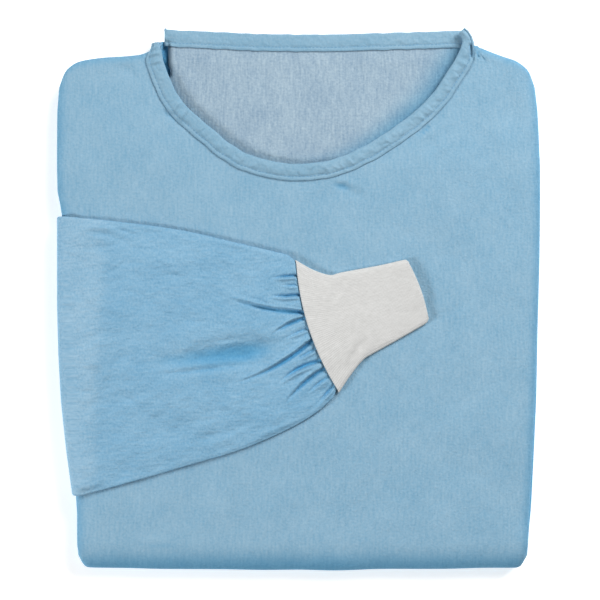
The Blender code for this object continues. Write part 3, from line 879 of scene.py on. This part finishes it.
nearer = np.linspace(0, 1, BACK_ROWS) ** 1.6
side_lines = [
    resampled(curve_through(line, 400), BACK_ROWS, nearer) for line in (BACK_LEFT, BACK_RIGHT)
]
back_plan = plan_patch(
    curve_through(BACK_TOP, BACK_COLUMNS),
    np.linspace(side_lines[0][-1], side_lines[1][-1], BACK_COLUMNS),
    side_lines[0],
    side_lines[1],
)
back_grid = np.dstack([back_plan, back_top(back_plan[..., 0], back_plan[..., 1])])
# Painted shadow: the back is tinted darker along the neckline, where the front and its binding
# shade it, stronger and wider towards the right.
line = neck_line[::8]
to_neck = np.linalg.norm(back_plan[:, :, None] - line, axis=-1).min(axis=-1)
shadow_heavier_right = 0.45 + 0.55 * smoothstep(back_plan[..., 0] / 90)
shaded = 6.0 + 8.0 * smoothstep(back_plan[..., 0] / 110)
back_painted_shadow = 0.8 * shadow_heavier_right * np.exp(-((to_neck / shaded) ** 2))
back = make_piece(
    "back",
    back_grid,
    grid_quads(BACK_ROWS, BACK_COLUMNS),
    inner_cloth,
    back_plan,
    probe=(BACK_COLUMNS - 1) * 20 + BACK_COLUMNS // 2,
    depth=back_painted_shadow,
)
add_wall(back, CLOTH)
dress(back, "inner_nonwoven", "back_panel")

# %% [markdown]
# ## Neck bindings
#
# A strip of the same cloth is folded over each cut edge and sewn down in one pass. The
# feed of the machine gathers it a little, so it is puffy between its fold and its
# stitches, and it puckers on the tight curves at the bottom and the right of the neck.
# One profile of the folded strip is carried along the neckline, and small irregular
# waves are added across it.

# %% Folded strip along an edge
BINDING_WIDTH, BACK_BINDING_WIDTH = 11.8, 12.0
STITCH_FROM_EDGE = 3.2
STRIP_CLOTH = 0.22
STRIP_FLOOR = 0.68  # its upper layer stays clear of the edge turned in below it
Pucker = namedtuple("Pucker", "along height width lean")


def strip_profile(width, puff):
    """The strip in section: distance from the edge into the panel, and height over it.

    It starts under the panel, turns round the edge and comes back over it, dips at the
    stitches and ends in a turned-under edge."""
    turn = np.linspace(-0.5, 0.5, 9)[1:-1] * math.pi
    fold = np.column_stack([-0.9 - 0.8 * np.cos(turn), -0.15 + 0.95 * np.sin(turn)])
    share = np.linspace(0, 1, 22)
    out = -0.9 + share * (width + 0.9)
    stitch = width - STITCH_FROM_EDGE
    rise = 1.05 + puff * np.sin(np.clip((out + 0.9) / (stitch + 0.9), 0, 1) * math.pi) ** 0.7
    rise -= 0.4 * np.exp(-(((out - stitch) / 0.7) ** 2))
    rise += 0.3 * np.exp(-(((out - stitch - 1.8) / 0.9) ** 2))
    over = np.column_stack([out, rise])
    under = np.array([[width * 0.6, -1.25], [2.0, -1.2], [-0.9, -1.1]])
    turned = np.array([[width + 0.25, 0.6], [width - 0.1, 0.22], [width - 2.5, 0.2]])
    return np.vstack([under, fold, over, turned])


def sewn_strip(name, line, into, top, width, puff, puckers, ripple, seed, narrow=None):
    """A binding along line; into points from the edge into the panel.

    Returns the piece and the run of its stitches as points."""
    profile = strip_profile(width, puff)
    out, up = profile.T
    along = run_along(line)
    share = np.clip(out / width, 0, 1)
    narrow = np.ones(len(line)) if narrow is None else narrow
    waves = np.zeros((len(line), len(profile)))
    for wavelength, high, k in ((5.5, 0.35, 0), (11.0, 0.5, 1), (26.0, 0.5, 2)):
        skew = 0.5 * out[None, :] * (1 if k % 2 else -1)
        run = along[:, None] + skew
        waves += high * ripple * swell(run, out[None, :], wavelength, seed + k, 1.6)
    waves += 0.9 * ripple * crumple(along[:, None], out[None, :], 13.0, seed + 3, 1.3)
    for p in puckers:
        off = along[:, None] - p.along - p.lean * out[None, :]
        waves += p.height * np.exp(-((off / p.width) ** 2))
        waves -= 0.6 * p.height * np.exp(-(((off - 1.7 * p.width) / p.width) ** 2))
    to_end = np.minimum(along, along[-1] - along)
    waves = np.maximum(waves, -0.45 * puff) * smoothstep(to_end / 7.0)[:, None]
    held = np.sin(np.pi * np.clip(share * 1.1, 0, 1)) ** 0.5 * (up > 0.3)
    wander = 0.25 * swell(along, 0 * along, 14.0, seed + 5)
    reach = np.where(out > 0, out, 0)[None] * narrow[:, None] + np.minimum(out, 0)[None]
    place = line[:, None] + into[:, None] * (reach + wander[:, None])[..., None]
    lift = up[None] + waves * held
    covers = (up > 0.45) & (out > -0.5)
    lift = np.where(covers[None], np.maximum(lift, STRIP_FLOOR), lift)
    z = top(place[..., 0], place[..., 1]) + lift
    points = np.dstack([place, z])
    cloth = np.dstack(np.broadcast_arrays(run_along(profile)[None, :], along[:, None]))
    piece = make_piece(
        name,
        points,
        grid_quads(len(line), len(profile)),
        binding_cloth,
        cloth,
        probe=(len(profile) - 1) * (len(line) // 2) + 20,
    )
    add_wall(piece, STRIP_CLOTH)
    row = int(np.argmin(abs(out - (width - STITCH_FROM_EDGE)) + 9 * (up < 0.2)))
    return piece, points[:, row]


left_end = neck_line[0] + 2 * (neck_line[0] - neck_line[1])
right_end = [Plan(133.0, 208.5), Plan(132.0, 211.5), Plan(129.6, 214.0)]
front_edge = resampled(np.vstack([left_end, neck_line, right_end]), 620)
to_right_end = np.linspace(run_along(front_edge)[-1], 0, 620)
narrow = 0.42 + 0.58 * smoothstep(to_right_end / 24.0)
narrow *= 0.35 + 0.65 * smoothstep((to_right_end[0] - to_right_end) / 12.0)
front_strip, front_seam = sewn_strip(
    "neck_binding_front_strip",
    front_edge,
    -normals_left(front_edge),
    front_top,
    BINDING_WIDTH,
    1.0,
    [
        Pucker(3.0, 0.9, 1.6, 0.10),
        Pucker(9.0, 0.9, 1.4, -0.10),
        Pucker(15.0, 0.8, 1.4, 0.05),
        Pucker(52.0, 0.7, 1.6, 0.15),
        Pucker(60.0, 0.6, 1.4, 0.20),
        Pucker(120.0, 0.4, 2.0, -0.20),
        Pucker(185.0, 0.6, 1.5, 0.10),
        Pucker(196.0, 0.8, 1.6, 0.20),
        Pucker(203.0, 0.6, 1.4, 0.30),
        Pucker(236.0, 0.8, 1.8, 0.25),
        Pucker(268.0, 0.9, 1.8, 0.30),
        Pucker(277.0, 0.7, 1.5, 0.30),
        Pucker(322.0, 0.5, 2.0, 0.10),
        Pucker(345.0, 0.8, 1.6, -0.10),
        Pucker(352.0, 0.8, 1.4, 0.10),
    ],
    0.62,
    31,
    narrow,
)
dress(front_strip, "binding_nonwoven", "neck_binding_front")

back_edge = curve_through(BACK_TOP, 420)
back_strip, back_seam = sewn_strip(
    "neck_binding_back_strip",
    back_edge,
    np.tile([0.0, -1.0], (len(back_edge), 1)),
    back_top,
    BACK_BINDING_WIDTH,
    0.35,
    [Pucker(2.0, 0.6, 1.6, 0.0), Pucker(70.0, 0.3, 3.0, 0.1), Pucker(232.0, 0.7, 1.4, 0.3)],
    0.42,
    41,
)
dress(back_strip, "binding_nonwoven", "neck_binding_back")


# %% Stitches
STITCH_LENGTH, STITCH_GAP, THREAD = 2.2, 0.8, 0.2
RINGS, RING_POINTS = 7, 6  # of one stitch


def polyester_thread(name, code):
    """Spun polyester thread, matt, with its twist too fine to see."""
    material, _, shader = new_material(name, 0.7)
    shader.inputs["Base Color"].default_value = from_hex(code)
    return material


def stitches(name, line, material):
    """Short capsules end to end along a line in space, one for each stitch.

    Each is a ring swept from pole to pole: its radius is (1 - t²)^0.3 along it, which
    is 0 at both poles, so each pole's ring becomes one point."""
    along = run_along(line)
    starts = np.arange(1.0, along[-1] - STITCH_LENGTH, STITCH_LENGTH + STITCH_GAP)
    t = np.linspace(-1, 1, RINGS)
    at = starts[:, None] + STITCH_LENGTH * (t[None] + 1) / 2
    middle = np.stack([np.interp(at, along, line[:, k]) for k in range(3)], axis=-1)
    tangent = np.gradient(middle, axis=1)
    tangent /= np.linalg.norm(tangent, axis=2)[..., None]
    beside = np.cross(tangent, [0.0, 0.0, 1.0])
    beside /= np.linalg.norm(beside, axis=2)[..., None]
    radius = THREAD * (1 - t**2) ** 0.3
    turn = np.linspace(0, 2 * math.pi, RING_POINTS + 1)[:-1]
    upright = np.array([0.0, 0.0, 1.0])
    ring = np.cos(turn)[:, None] * beside[:, :, None] + np.sin(turn)[:, None] * upright
    points = middle[:, :, None] + radius[None, :, None, None] * ring
    points[..., 2] += 0.5 * THREAD * (1 - t[None, :, None] ** 2)
    faces = grid_quads(RINGS, RING_POINTS, closed=True)
    offsets = np.arange(len(starts))[:, None, None] * RINGS * RING_POINTS
    faces = (faces[None] + offsets).reshape(-1, 4)
    return make_piece(name, points, faces, material, weld=0.005)


blue_thread = polyester_thread("polyester_thread_blue", "7DA9C6")
front_stitches = stitches("front_binding_stitches", front_seam, blue_thread)
dress(front_stitches, "binding_nonwoven")
back_stitches = stitches("back_binding_stitches", back_seam, blue_thread)
dress(back_stitches, "binding_nonwoven")

# %% Tucked cloth beside the neck's left end
TUCK_LEFT, TUCK_RIGHT, TUCK_LOW, TUCK_HIGH = -115.0, -98.0, 172.0, 207.0
TUCK_COLUMNS, TUCK_ROWS = 50, 70


def tucked_cloth():
    """A crumpled corner of the shoulder seen in the gap between the two bindings.

    A plain grid whose height is a slope, plus crumple and one ridge."""
    across = np.linspace(TUCK_LEFT, TUCK_RIGHT, TUCK_COLUMNS)
    x, y = np.meshgrid(across, np.linspace(TUCK_LOW, TUCK_HIGH, TUCK_ROWS))
    ridge = 4.2 * np.exp(-(((x + 111 - 0.25 * (y - 200)) / 1.6) ** 2))
    ridge *= smoothstep((y - 190) / 9)
    z = back_z(y) - 3.4 + 0.5 * crumple(x, y, 9.0, 55) + 0.3 * swell(x, y, 6.0, 56) + ridge
    z -= 1.5 * smoothstep((x + 106) / 4)
    return np.dstack([x, y, z])


tuck_grid = tucked_cloth()
# Painted shade: the tuck's right half, down in the gap, is tinted dark.
tuck_painted_shade = smoothstep((tuck_grid[..., 0] + 111.5) / 3)
tuck = make_piece(
    "shoulder_tuck",
    tuck_grid,
    grid_quads(TUCK_ROWS, TUCK_COLUMNS),
    sleeve_cloth,
    probe=(TUCK_COLUMNS - 1) * 35 + 40,
    depth=tuck_painted_shade,
)
add_wall(tuck, CLOTH)
dress(tuck, "outer_nonwoven")

# %% [markdown]
# ## Sleeve
#
# The wearer's right sleeve is folded over the front. It is a flattened tube: from under
# the left fold it comes round onto the front and tapers to the cuff, where its extra
# width is gathered into the seam. The gathers are the liveliest part of the gown, so
# each main crease is given one by one, and dozens of small puckers are added at the seam.

# %% Flattened tubes
Section = namedtuple("Section", "upper lower crown bow")
SLEEVE = [
    Section(Plan(-187.0, 66.0), Plan(-174.5, -157.5), 3.2, 0.0),
    Section(Plan(-150.0, 62.5), Plan(-132.0, -146.0), 4.4, 0.0),
    Section(Plan(-96.5, 55.5), Plan(-86.0, -132.5), 5.8, 0.0),
    Section(Plan(-50.0, 45.0), Plan(-47.5, -121.0), 6.2, -1.0),
    Section(Plan(-22.0, 38.5), Plan(-12.0, -106.0), 6.4, -3.0),
    Section(Plan(-9.0, 35.0), Plan(14.0, -91.0), 6.0, -5.5),
    Section(Plan(-2.5, 30.5), Plan(31.5, -75.0), 3.9, -7.0),
    Section(Plan(1.4, 27.6), Plan(34.6, -70.6), 2.6, -7.0),
]
CUFF = [
    Section(Plan(-2.4, 31.2), Plan(32.2, -74.9), 5.9, -7.0),
    Section(Plan(-1.2, 30.6), Plan(33.2, -73.6), 6.3, -7.0),
    Section(Plan(11.5, 23.5), Plan(42.0, -60.5), 5.7, -6.0),
    Section(Plan(25.0, 19.3), Plan(51.0, -49.5), 5.3, -4.0),
    Section(Plan(35.0, 21.5), Plan(58.0, -44.5), 5.1, -3.0),
    Section(Plan(65.0, 27.0), Plan(80.5, -32.0), 4.8, -1.0),
    Section(Plan(83.5, 31.2), Plan(100.5, -20.4), 4.7, 1.2),
    Section(Plan(86.6, 30.9), Plan(103.4, -17.4), 4.3, 1.6),
    Section(Plan(87.9, 29.9), Plan(104.2, -15.6), 3.4, 1.8),
]
SLEEVE_FOLD, CUFF_FOLD = 3.2, 3.4
SLEEVE_TUCK = 9.0
GAP = 0.3
SLEEVE_CLOTH, CUFF_KNIT = 0.4, 1.1
NARROWED, LIFTED = 1.7, 1.35  # the sleeve's end inside the cuff: each side, and its rise


def ring_shape(fold, upper, lower, edge):
    """A flattened ring: place across from -1 to 1, overhang, height, share of crown."""
    half = fold / 2
    turn = np.linspace(-math.pi / 2, math.pi / 2, edge + 1)
    over = np.linspace(1, -1, upper + 1)[1:-1]
    under = np.linspace(-1, 1, lower + 1)[1:-1]
    none, out, rise = 0 * turn, half * np.cos(turn), half * np.sin(turn)
    right = np.column_stack([none + 1, out, half + rise, none])
    left = np.column_stack([none - 1, -out, half - rise, none])
    top = np.column_stack([over, 0 * over, fold + 0 * over, 1 + 0 * over])
    bottom = np.column_stack([under, 0 * under, 0 * under, 0 * under])
    return np.vstack([right, top, left, bottom])


def section_rows(sections, count):
    """Smooth run of sections as rows of numbers: upper, lower, crown and bow."""
    table = np.array([(*s.upper, *s.lower, s.crown, s.bow) for s in sections])
    middle = (table[:, :2] + table[:, 2:4]) / 2
    rows = curve_through(np.hstack([middle, table]), count)
    return rows[:, 2:]


def flat_tube(table, fold, shape, rest, relief, wall, drawn_in=None):
    """Grid of a flattened tube lying on rest(x, y), one row for each section.

    Its upper face rises to the crown as a half ellipse, plus relief(x, y, across,
    distance to the last section), but never nearer to the lower face than two walls.
    drawn_in(distance to the last section) is 0 for a row of the full size and 1 for one
    that is made smaller to fit inside the next piece."""
    across, beyond, height, share = shape.T
    upper, lower = table[:, 0:2], table[:, 2:4]
    crown, bow = table[:, 4], table[:, 5]
    width = np.linalg.norm(lower - upper, axis=1)
    side = (lower - upper) / width[:, None]
    forward = np.column_stack([-side[:, 1], side[:, 0]])
    middle = (upper + lower) / 2
    steps = np.linalg.norm(np.diff(middle, axis=0), axis=1)
    left_over = np.concatenate([np.cumsum(steps[::-1])[::-1], [0]])[:, None]
    inner = drawn_in(left_over) if drawn_in else 0 * left_over
    reach = (width[:, None] / 2 - fold / 2 - NARROWED * inner) * across[None]
    reach = reach + beyond[None] * (1 - 0.6 * inner)
    plan = middle[:, None] + reach[..., None] * side[:, None]
    plan += (bow[:, None] * (1 - across[None] ** 2))[..., None] * forward[:, None]
    x, y = plan[..., 0], plan[..., 1]
    near_edge = smoothstep((1 - abs(across)) / 0.05) * share
    low = rest(x, y) + GAP + LIFTED * inner
    z = low + height * (1 - 0.7 * inner)
    z += (crown[:, None] - fold * (1 - 0.3 * inner)) * np.sqrt(1 - across[None] ** 2) * share
    z += near_edge * relief(x, y, across[None], left_over)
    z = np.where(near_edge > 0.5, np.maximum(z, low + 2 * wall + 0.2), z)
    girth = run_along(np.column_stack([reach[0], height]))
    scale = width[:, None] / width[0]
    cloth = np.dstack(np.broadcast_arrays((girth[None] - girth.mean()) * scale, left_over))
    return np.dstack([x, y, z]), cloth


# %% Creases of the sleeve
SLEEVE_CREASES = [
    # x0, y0, x1, y1, bow, depth, width, lip, head, tail
    Crease(1.0, -11.0, -66.0, 4.0, 2.5, 3.6, 2.0, -0.6, 0.0, 0.9),
    Crease(-2.0, -9.0, -52.0, 6.0, 1.0, 1.6, 1.6, 0.5, 0.0, 0.8),
    Crease(-1.0, 3.0, -26.0, 2.5, 0.4, 2.6, 1.3, 0.7, 0.0, 0.7),
    Crease(-3.5, 18.5, -24.0, 16.0, -0.5, 2.4, 1.2, 0.7, 0.0, 0.7),
    Crease(-2.5, 11.0, -16.0, 11.5, 0.3, 1.5, 1.1, 0.7, 0.0, 0.8),
    Crease(2.0, -7.0, -18.0, -4.0, 0.3, 1.4, 1.1, 0.7, 0.0, 0.8),
    Crease(4.0, -15.5, -24.0, -30.0, -1.2, 2.8, 1.6, -0.7, 0.0, 0.7),
    Crease(7.0, -24.0, -14.0, -33.0, -0.6, 1.6, 1.2, 0.7, 0.0, 0.8),
    Crease(11.0, -33.0, -58.0, -69.0, 5.0, 3.6, 1.8, -0.7, 0.0, 0.8),
    Crease(13.0, -40.0, -8.0, -50.0, 0.7, 1.8, 1.3, 0.6, 0.0, 0.8),
    Crease(16.0, -50.0, -19.0, -71.0, -3.5, 3.4, 1.7, 0.7, 0.0, 0.7),
    Crease(19.0, -56.5, -13.0, -87.0, -2.4, 3.0, 1.6, -0.7, 0.0, 0.7),
    Crease(23.0, -63.0, 6.0, -77.0, -1.0, 2.0, 1.3, 0.7, 0.0, 0.8),
    Crease(28.0, -70.0, 15.0, -86.0, -1.0, 2.2, 1.4, 0.7, 0.0, 0.8),
    Crease(-6.0, -36.0, -158.0, -52.0, 3.0, 4.2, 10.0, -0.22, 0.25, 0.75),
    Crease(-24.0, -50.0, -136.0, -62.0, 1.0, 1.4, 2.6, -0.8, 0.4, 0.6),
    Crease(-40.0, -30.0, -84.0, -34.0, 1.0, 0.7, 2.5, 0.6, 0.5, 0.5),
    Crease(-174.0, 54.0, -132.0, 44.0, 2.0, 1.3, 3.2, 0.6, 0.4, 0.6),
    Crease(-150.0, 58.0, -122.0, 50.0, -0.6, 0.8, 1.4, 0.7, 0.4, 0.6),
    Crease(-166.0, 48.0, -150.0, 30.0, 2.0, 0.7, 4.0, 0.6, 0.4, 0.6),
    Crease(-96.0, 52.0, -76.0, 46.0, 0.8, 0.9, 1.8, 0.7, 0.4, 0.6),
    Crease(-70.0, 46.0, -30.0, 22.0, 3.0, 0.9, 6.0, 0.5, 0.5, 0.6),
    Crease(-120.0, 30.0, -90.0, 10.0, 3.0, 0.6, 3.0, 0.5, 0.5, 0.6),
    Crease(-160.0, 20.0, -60.0, 25.0, -6.0, 0.8, 9.0, 0.4, 0.5, 0.5),
    Crease(-60.0, -85.0, -150.0, -110.0, 6.0, 1.0, 9.0, 0.4, 0.5, 0.5),
    Crease(-30.0, -95.0, -100.0, -115.0, 3.0, 0.9, 4.0, 0.5, 0.5, 0.6),
    Crease(-110.0, -70.0, -160.0, -84.0, 2.0, 0.7, 4.0, 0.5, 0.5, 0.6),
]


def sleeve_relief(x, y, across, from_seam):
    """Listed creases, puckers at the seam and the slow lift by the left fold."""
    puckers = np.zeros(np.broadcast(x, across).shape)
    seam_place = across * 55
    for wavelength, high, k in ((4.6, 0.55, 0), (7.5, 0.7, 1)):
        puckers += high * swell(seam_place, from_seam * 0.12, wavelength, 60 + k, waves=14)
    puckers *= np.exp(-from_seam / 7.0) * smoothstep((from_seam + 4) / 6)
    band = np.exp(-(((x + 161 - 0.05 * y) / 13.0) ** 2))
    slow = 0.5 * swell(x, y, 60.0, 63) + 0.28 * swell(x, y * 1.3, 22.0, 64)
    fine = 0.12 * swell(x * 0.6, y, 7.0, 65, 1.0, 40) + 0.45 * crumple(x * 0.5, y, 26.0, 66)
    away = smoothstep((x + 192) / 14)
    under_cuff = smoothstep((from_seam - 1.5) / 3.0)
    total = creased(x, y, SLEEVE_CREASES) + puckers + 2.2 * band + slow + fine
    # Next to the seam the ridges are held down, so that they go in under the cuff.
    return away * under_cuff * np.minimum(total, 0.15 + 0.35 * np.maximum(from_seam - 3.5, 0))


# %% Sleeve
SLEEVE_ROWS, WRAP_STEPS = 150, 10


def sleeve_rest(x, y):
    """What the sleeve lies on: the front, bridged where the front falls to its side."""
    return np.maximum(front_top(x, y), front_z(y) - 0.2)


def into_cuff(from_seam):
    """1 inside the cuff, falling smoothly to 0 between 4 and 6.5 mm before its seam."""
    return smoothstep((6.5 - from_seam) / 2.5)


sleeve_shape = ring_shape(SLEEVE_FOLD, 240, 24, 8)
table = section_rows(SLEEVE, SLEEVE_ROWS)
tube, tube_cloth = flat_tube(
    table, SLEEVE_FOLD, sleeve_shape, sleeve_rest, sleeve_relief, SLEEVE_CLOTH, into_cuff
)

# The tube's start goes round the left fold of the body and a little way under it.
first = tube[0].copy()
first[:, 2] = front_z(first[:, 1]) + GAP + sleeve_shape[:, 2]
tube[0] = first
fold_x = side_x(TOP_RUN, -1, first[:, 1]) + ROLL_DOWN - GAP
rise = first[:, 2] - (STACK - ROLL_DOWN)
axis = STACK - ROLL_DOWN - SIDE_FALL / 2
tube[0, :, 0] = np.minimum(fold_x, tube[0, :, 0])
turn = np.linspace(math.pi, 0, WRAP_STEPS + 1)[:-1, None]
wrap = np.stack(
    np.broadcast_arrays(
        fold_x - rise * np.sin(turn), first[:, 1], axis + (first[:, 2] - axis) * np.cos(turn)
    ),
    axis=-1,
)
tucked = wrap[:1] + np.array([SLEEVE_TUCK, 0.0, 0.0])
sleeve_grid = np.vstack([tucked, wrap, tube])
extra = tube_cloth[0, 0, 1] + np.linspace(26.0, 1.6, WRAP_STEPS + 1)
wrap_cloth = np.dstack(np.broadcast_arrays(tube_cloth[:1, :, 0], extra[:, None]))
sx, sy = sleeve_grid[..., 0], sleeve_grid[..., 1]
# Painted shade in the sleeve's creases: broad and sharp ones are tinted darker.
broad_folds = [crease for crease in SLEEVE_CREASES if crease.width > 3]
sharp_folds = [crease for crease in SLEEVE_CREASES if crease.width < 3]
broad_crease_shade = np.clip(-creased(sx, sy, broad_folds) / 4.4, 0, 0.85)
sharp_crease_shade = np.clip(-creased(sx, sy, sharp_folds) / 2.6, 0, 1)
# Painted highlight: a band beside the left fold, where the sleeve curves over towards the
# light, is left paler, while the rest of the sleeve gets a light painted shade tint.
off_highlight_band = smoothstep((sx + 163 - 0.05 * sy) / 12) + smoothstep((-sx - 186) / 8)
sleeve_painted_shade = np.maximum(np.maximum(broad_crease_shade, sharp_crease_shade), 0.24 * off_highlight_band.clip(0, 1))
sleeve = make_piece(
    "sleeve",
    sleeve_grid,
    grid_quads(*sleeve_grid.shape[:2], closed=True),
    sleeve_cloth,
    np.vstack([wrap_cloth, tube_cloth]),
    probe=sleeve_grid.shape[1] * 80 + 120,
    depth=sleeve_painted_shade,
)
add_wall(sleeve, SLEEVE_CLOTH)
dress(sleeve, "outer_nonwoven", "sleeve_right")

# %% [markdown]
# ## Knitted cuff
#
# The cuff is a tube of polyester rib, off-white and soft. Its ribs run along the arm and
# fan out where the seam stretches it, and its end is slightly rounded. The ribs are in
# the cloth's own coordinates: across the tube every rib keeps its number from the seam to
# the end, so they close up as the cuff narrows.

# %% Rib knit
RIBS = 78.0  # on one face of the cuff: 1.4 mm apart at the seam, 0.65 mm at its end
RIB_SPAN = 100.0  # one face across, in the cuff's own cloth coordinates
COURSE = 1.1  # one row of stitches


def rib_knit():
    """Rib knit: rounded ribs with rows of stitches across them, a little fuzzy."""
    material, tree, shader = new_material(
        "polyester_rib_knit", 0.85, Sheen_Weight=0.25, Sheen_Roughness=0.6
    )
    place = add_node(tree, "ShaderNodeUVMap", uv_map="cloth")
    split = add_node(tree, "ShaderNodeSeparateXYZ", links={"Vector": place.outputs["UV"]})
    fuzz = cloth_pattern(tree, (1.6, 5.0), 4.0, 0.65)
    around = maths(tree, "MULTIPLY", split.outputs["X"], 2 * math.pi * RIBS / (RIB_SPAN * MM))
    length = maths(tree, "MULTIPLY", split.outputs["Y"], 2 * math.pi / (COURSE * MM))
    ribs, courses = maths(tree, "SINE", around), maths(tree, "SINE", length)
    relief = weighted(tree, [(0.05, ribs), (0.015, courses), (0.14, fuzz)])
    # The colour follows the ribs too: their tops are painted lighter and the hollows between
    # them darker, a painted shade; the fuzz is the knit's own mottle.
    shade = weighted(tree, [(0.10, ribs), (0.8, fuzz)])
    colour = between(tree, "CBCBC9", "E2E2E1", shade, 0.0, 0.8)
    tree.links.new(colour, shader.inputs["Base Color"])
    raised(tree, shader, relief)
    return material


CUFF_CREASES = [
    Crease(34.0, 17.0, 22.0, -6.0, 2.0, 0.7, 4.0, 0.6, 0.3, 0.6),
    Crease(52.0, -44.0, 47.0, -24.0, 1.5, 0.7, 3.5, 0.6, 0.3, 0.6),
    Crease(40.0, -52.0, 62.0, -26.0, 2.0, 0.5, 3.0, 0.6, 0.3, 0.6),
]


def cuff_relief(x, y, across, from_end):
    """Soft puckers left by the gathered seam, fading towards the cuff's end."""
    from_seam = from_end.max() - from_end
    puckers = 0.16 * swell(across * 52, 0 * from_seam, 5.2, 71, waves=14)
    puckers = puckers * np.exp(-from_seam / 9.0)
    slow = 0.22 * swell(x, y, 26.0, 72)
    return puckers + slow + creased(x, y, CUFF_CREASES)


cuff_shape = ring_shape(CUFF_FOLD, 150, 30, 8)
cuff_grid, cuff_cloth = flat_tube(
    section_rows(CUFF, 90), CUFF_FOLD, cuff_shape, front_top, cuff_relief, CUFF_KNIT
)
widest = abs(cuff_cloth[..., 0]).max(axis=1, keepdims=True)
cuff_cloth[..., 0] = (cuff_cloth[..., 0] / widest) * RIB_SPAN
cuff = make_piece(
    "cuff",
    cuff_grid,
    grid_quads(*cuff_grid.shape[:2], closed=True),
    rib_knit(),
    cuff_cloth,
    probe=cuff_grid.shape[1] * 40 + 80,
)
add_wall(cuff, CUFF_KNIT)
dress(cuff, "rib_knit", "cuff_right")

# %% [markdown]
# ## What is folded inside
#
# The back skirt, the other sleeve and the ties lie between the front and its underside.
# Only their edges show, so they are one rounded body. Its sides are a stack of soft
# lobes, each a turned or cut layer at its own distance from the edge.

# %% Folded layers
LAYER_STEP = 1.55
LOBE_POINTS = 6
INSIDE_LOW, INSIDE_HIGH = 1.7, 15.0
INSIDE_Y = (-211.0, 188.0)
INSIDE_ROWS = 110
TUCK_Y, TUCK_INSET = (-163.0, 70.0), 18.5  # room for the sleeve's edge, on the left
# The front's turned-back edges lie at these heights, and the layers stay clear of them.
UNDER_TURN, UPPER_TURN, CLEAR_INSET = (5.2, 7.6), 13.1, 18.5


def side_profile(side, y):
    """x, y and z of one side's lobes on every row: |sin| bulges at uneven insets.

    The rows by the bottom fold round off as (height from the middle)² to follow it."""
    layers = int((INSIDE_HIGH - INSIDE_LOW) / LAYER_STEP)
    z = np.linspace(INSIDE_LOW, INSIDE_HIGH, layers * LOBE_POINTS + 1)
    number = np.minimum(((z - INSIDE_LOW) / LAYER_STEP).astype(int), layers - 1)
    bulge = abs(np.sin(math.pi * (z - INSIDE_LOW) / LAYER_STEP)) ** 0.5
    run = np.stack([side_x(UNDER_RUN, side, y), side_x(TOP_RUN, side, y)])
    share = smoothstep((z - 13.0) / 3.0)
    edge = run[0][:, None] * (1 - share) + run[1][:, None] * share
    uneven = 1.6 * swell(y[:, None], number[None] * 37.0, 130.0, 80 + side)
    inset = 4.0 + uneven + 1.3 * (1 - bulge)[None]
    tucked = (y > TUCK_Y[0]) & (y < TUCK_Y[1]) & (side < 0)
    room = (z > 9.8) & (z < 15.1)
    inset = np.where(tucked[:, None] & room[None], TUCK_INSET, np.maximum(inset, 2.6))
    turned = (z < UNDER_TURN[1]) & (z > UNDER_TURN[0]) | (z > UPPER_TURN)
    inset = np.where(turned, CLEAR_INSET, inset)
    rounded = 5.5 * smoothstep((-194.0 - y) / 16) + 14 * np.clip((y - 172.0) / 16, 0, 1) ** 2
    inset = inset + rounded[:, None]
    sunk = (STACK - front_z(y))[:, None] * smoothstep((z - 11) / 4)[None]
    sunk = sunk + 3.6 * smoothstep((y - 157) / 12)[:, None] * smoothstep((z - 8) / 4)[None]
    nose = 5.5 * smoothstep((-190.0 - y) / 20)[:, None] * (((z - 9.0) / 7.0) ** 2)[None]
    return edge - side * inset, y[:, None] + nose, z[None] - sunk


inside_y = np.linspace(*INSIDE_Y, INSIDE_ROWS)
left, right = (np.dstack(side_profile(side, inside_y)) for side in (-1, 1))
inside = np.hstack([left, right[:, ::-1]])
ring_x, ring_z = inside[..., 0], inside[..., 2]
cap_centres = ([0.0, inside[k, :, 1].mean(), 9.0] for k in (0, -1))
end_caps = [np.tile(centre, (1, inside.shape[1], 1)) for centre in cap_centres]
inside = np.vstack([end_caps[0], inside, end_caps[1]])
ring_steps = np.hypot(np.diff(ring_x, axis=1), np.diff(ring_z, axis=1))
girth = np.hstack([np.zeros((INSIDE_ROWS, 1)), np.cumsum(ring_steps, axis=1)])
laid = np.dstack([girth, np.broadcast_to(inside_y[:, None], girth.shape)])
laid = np.vstack([laid[:1], laid, laid[-1:]])
layers_mesh = make_piece(
    "folded_layers", inside, grid_quads(*inside.shape[:2], closed=True), outer_cloth, laid
)
dress(layers_mesh, "outer_nonwoven", "hidden_layers")
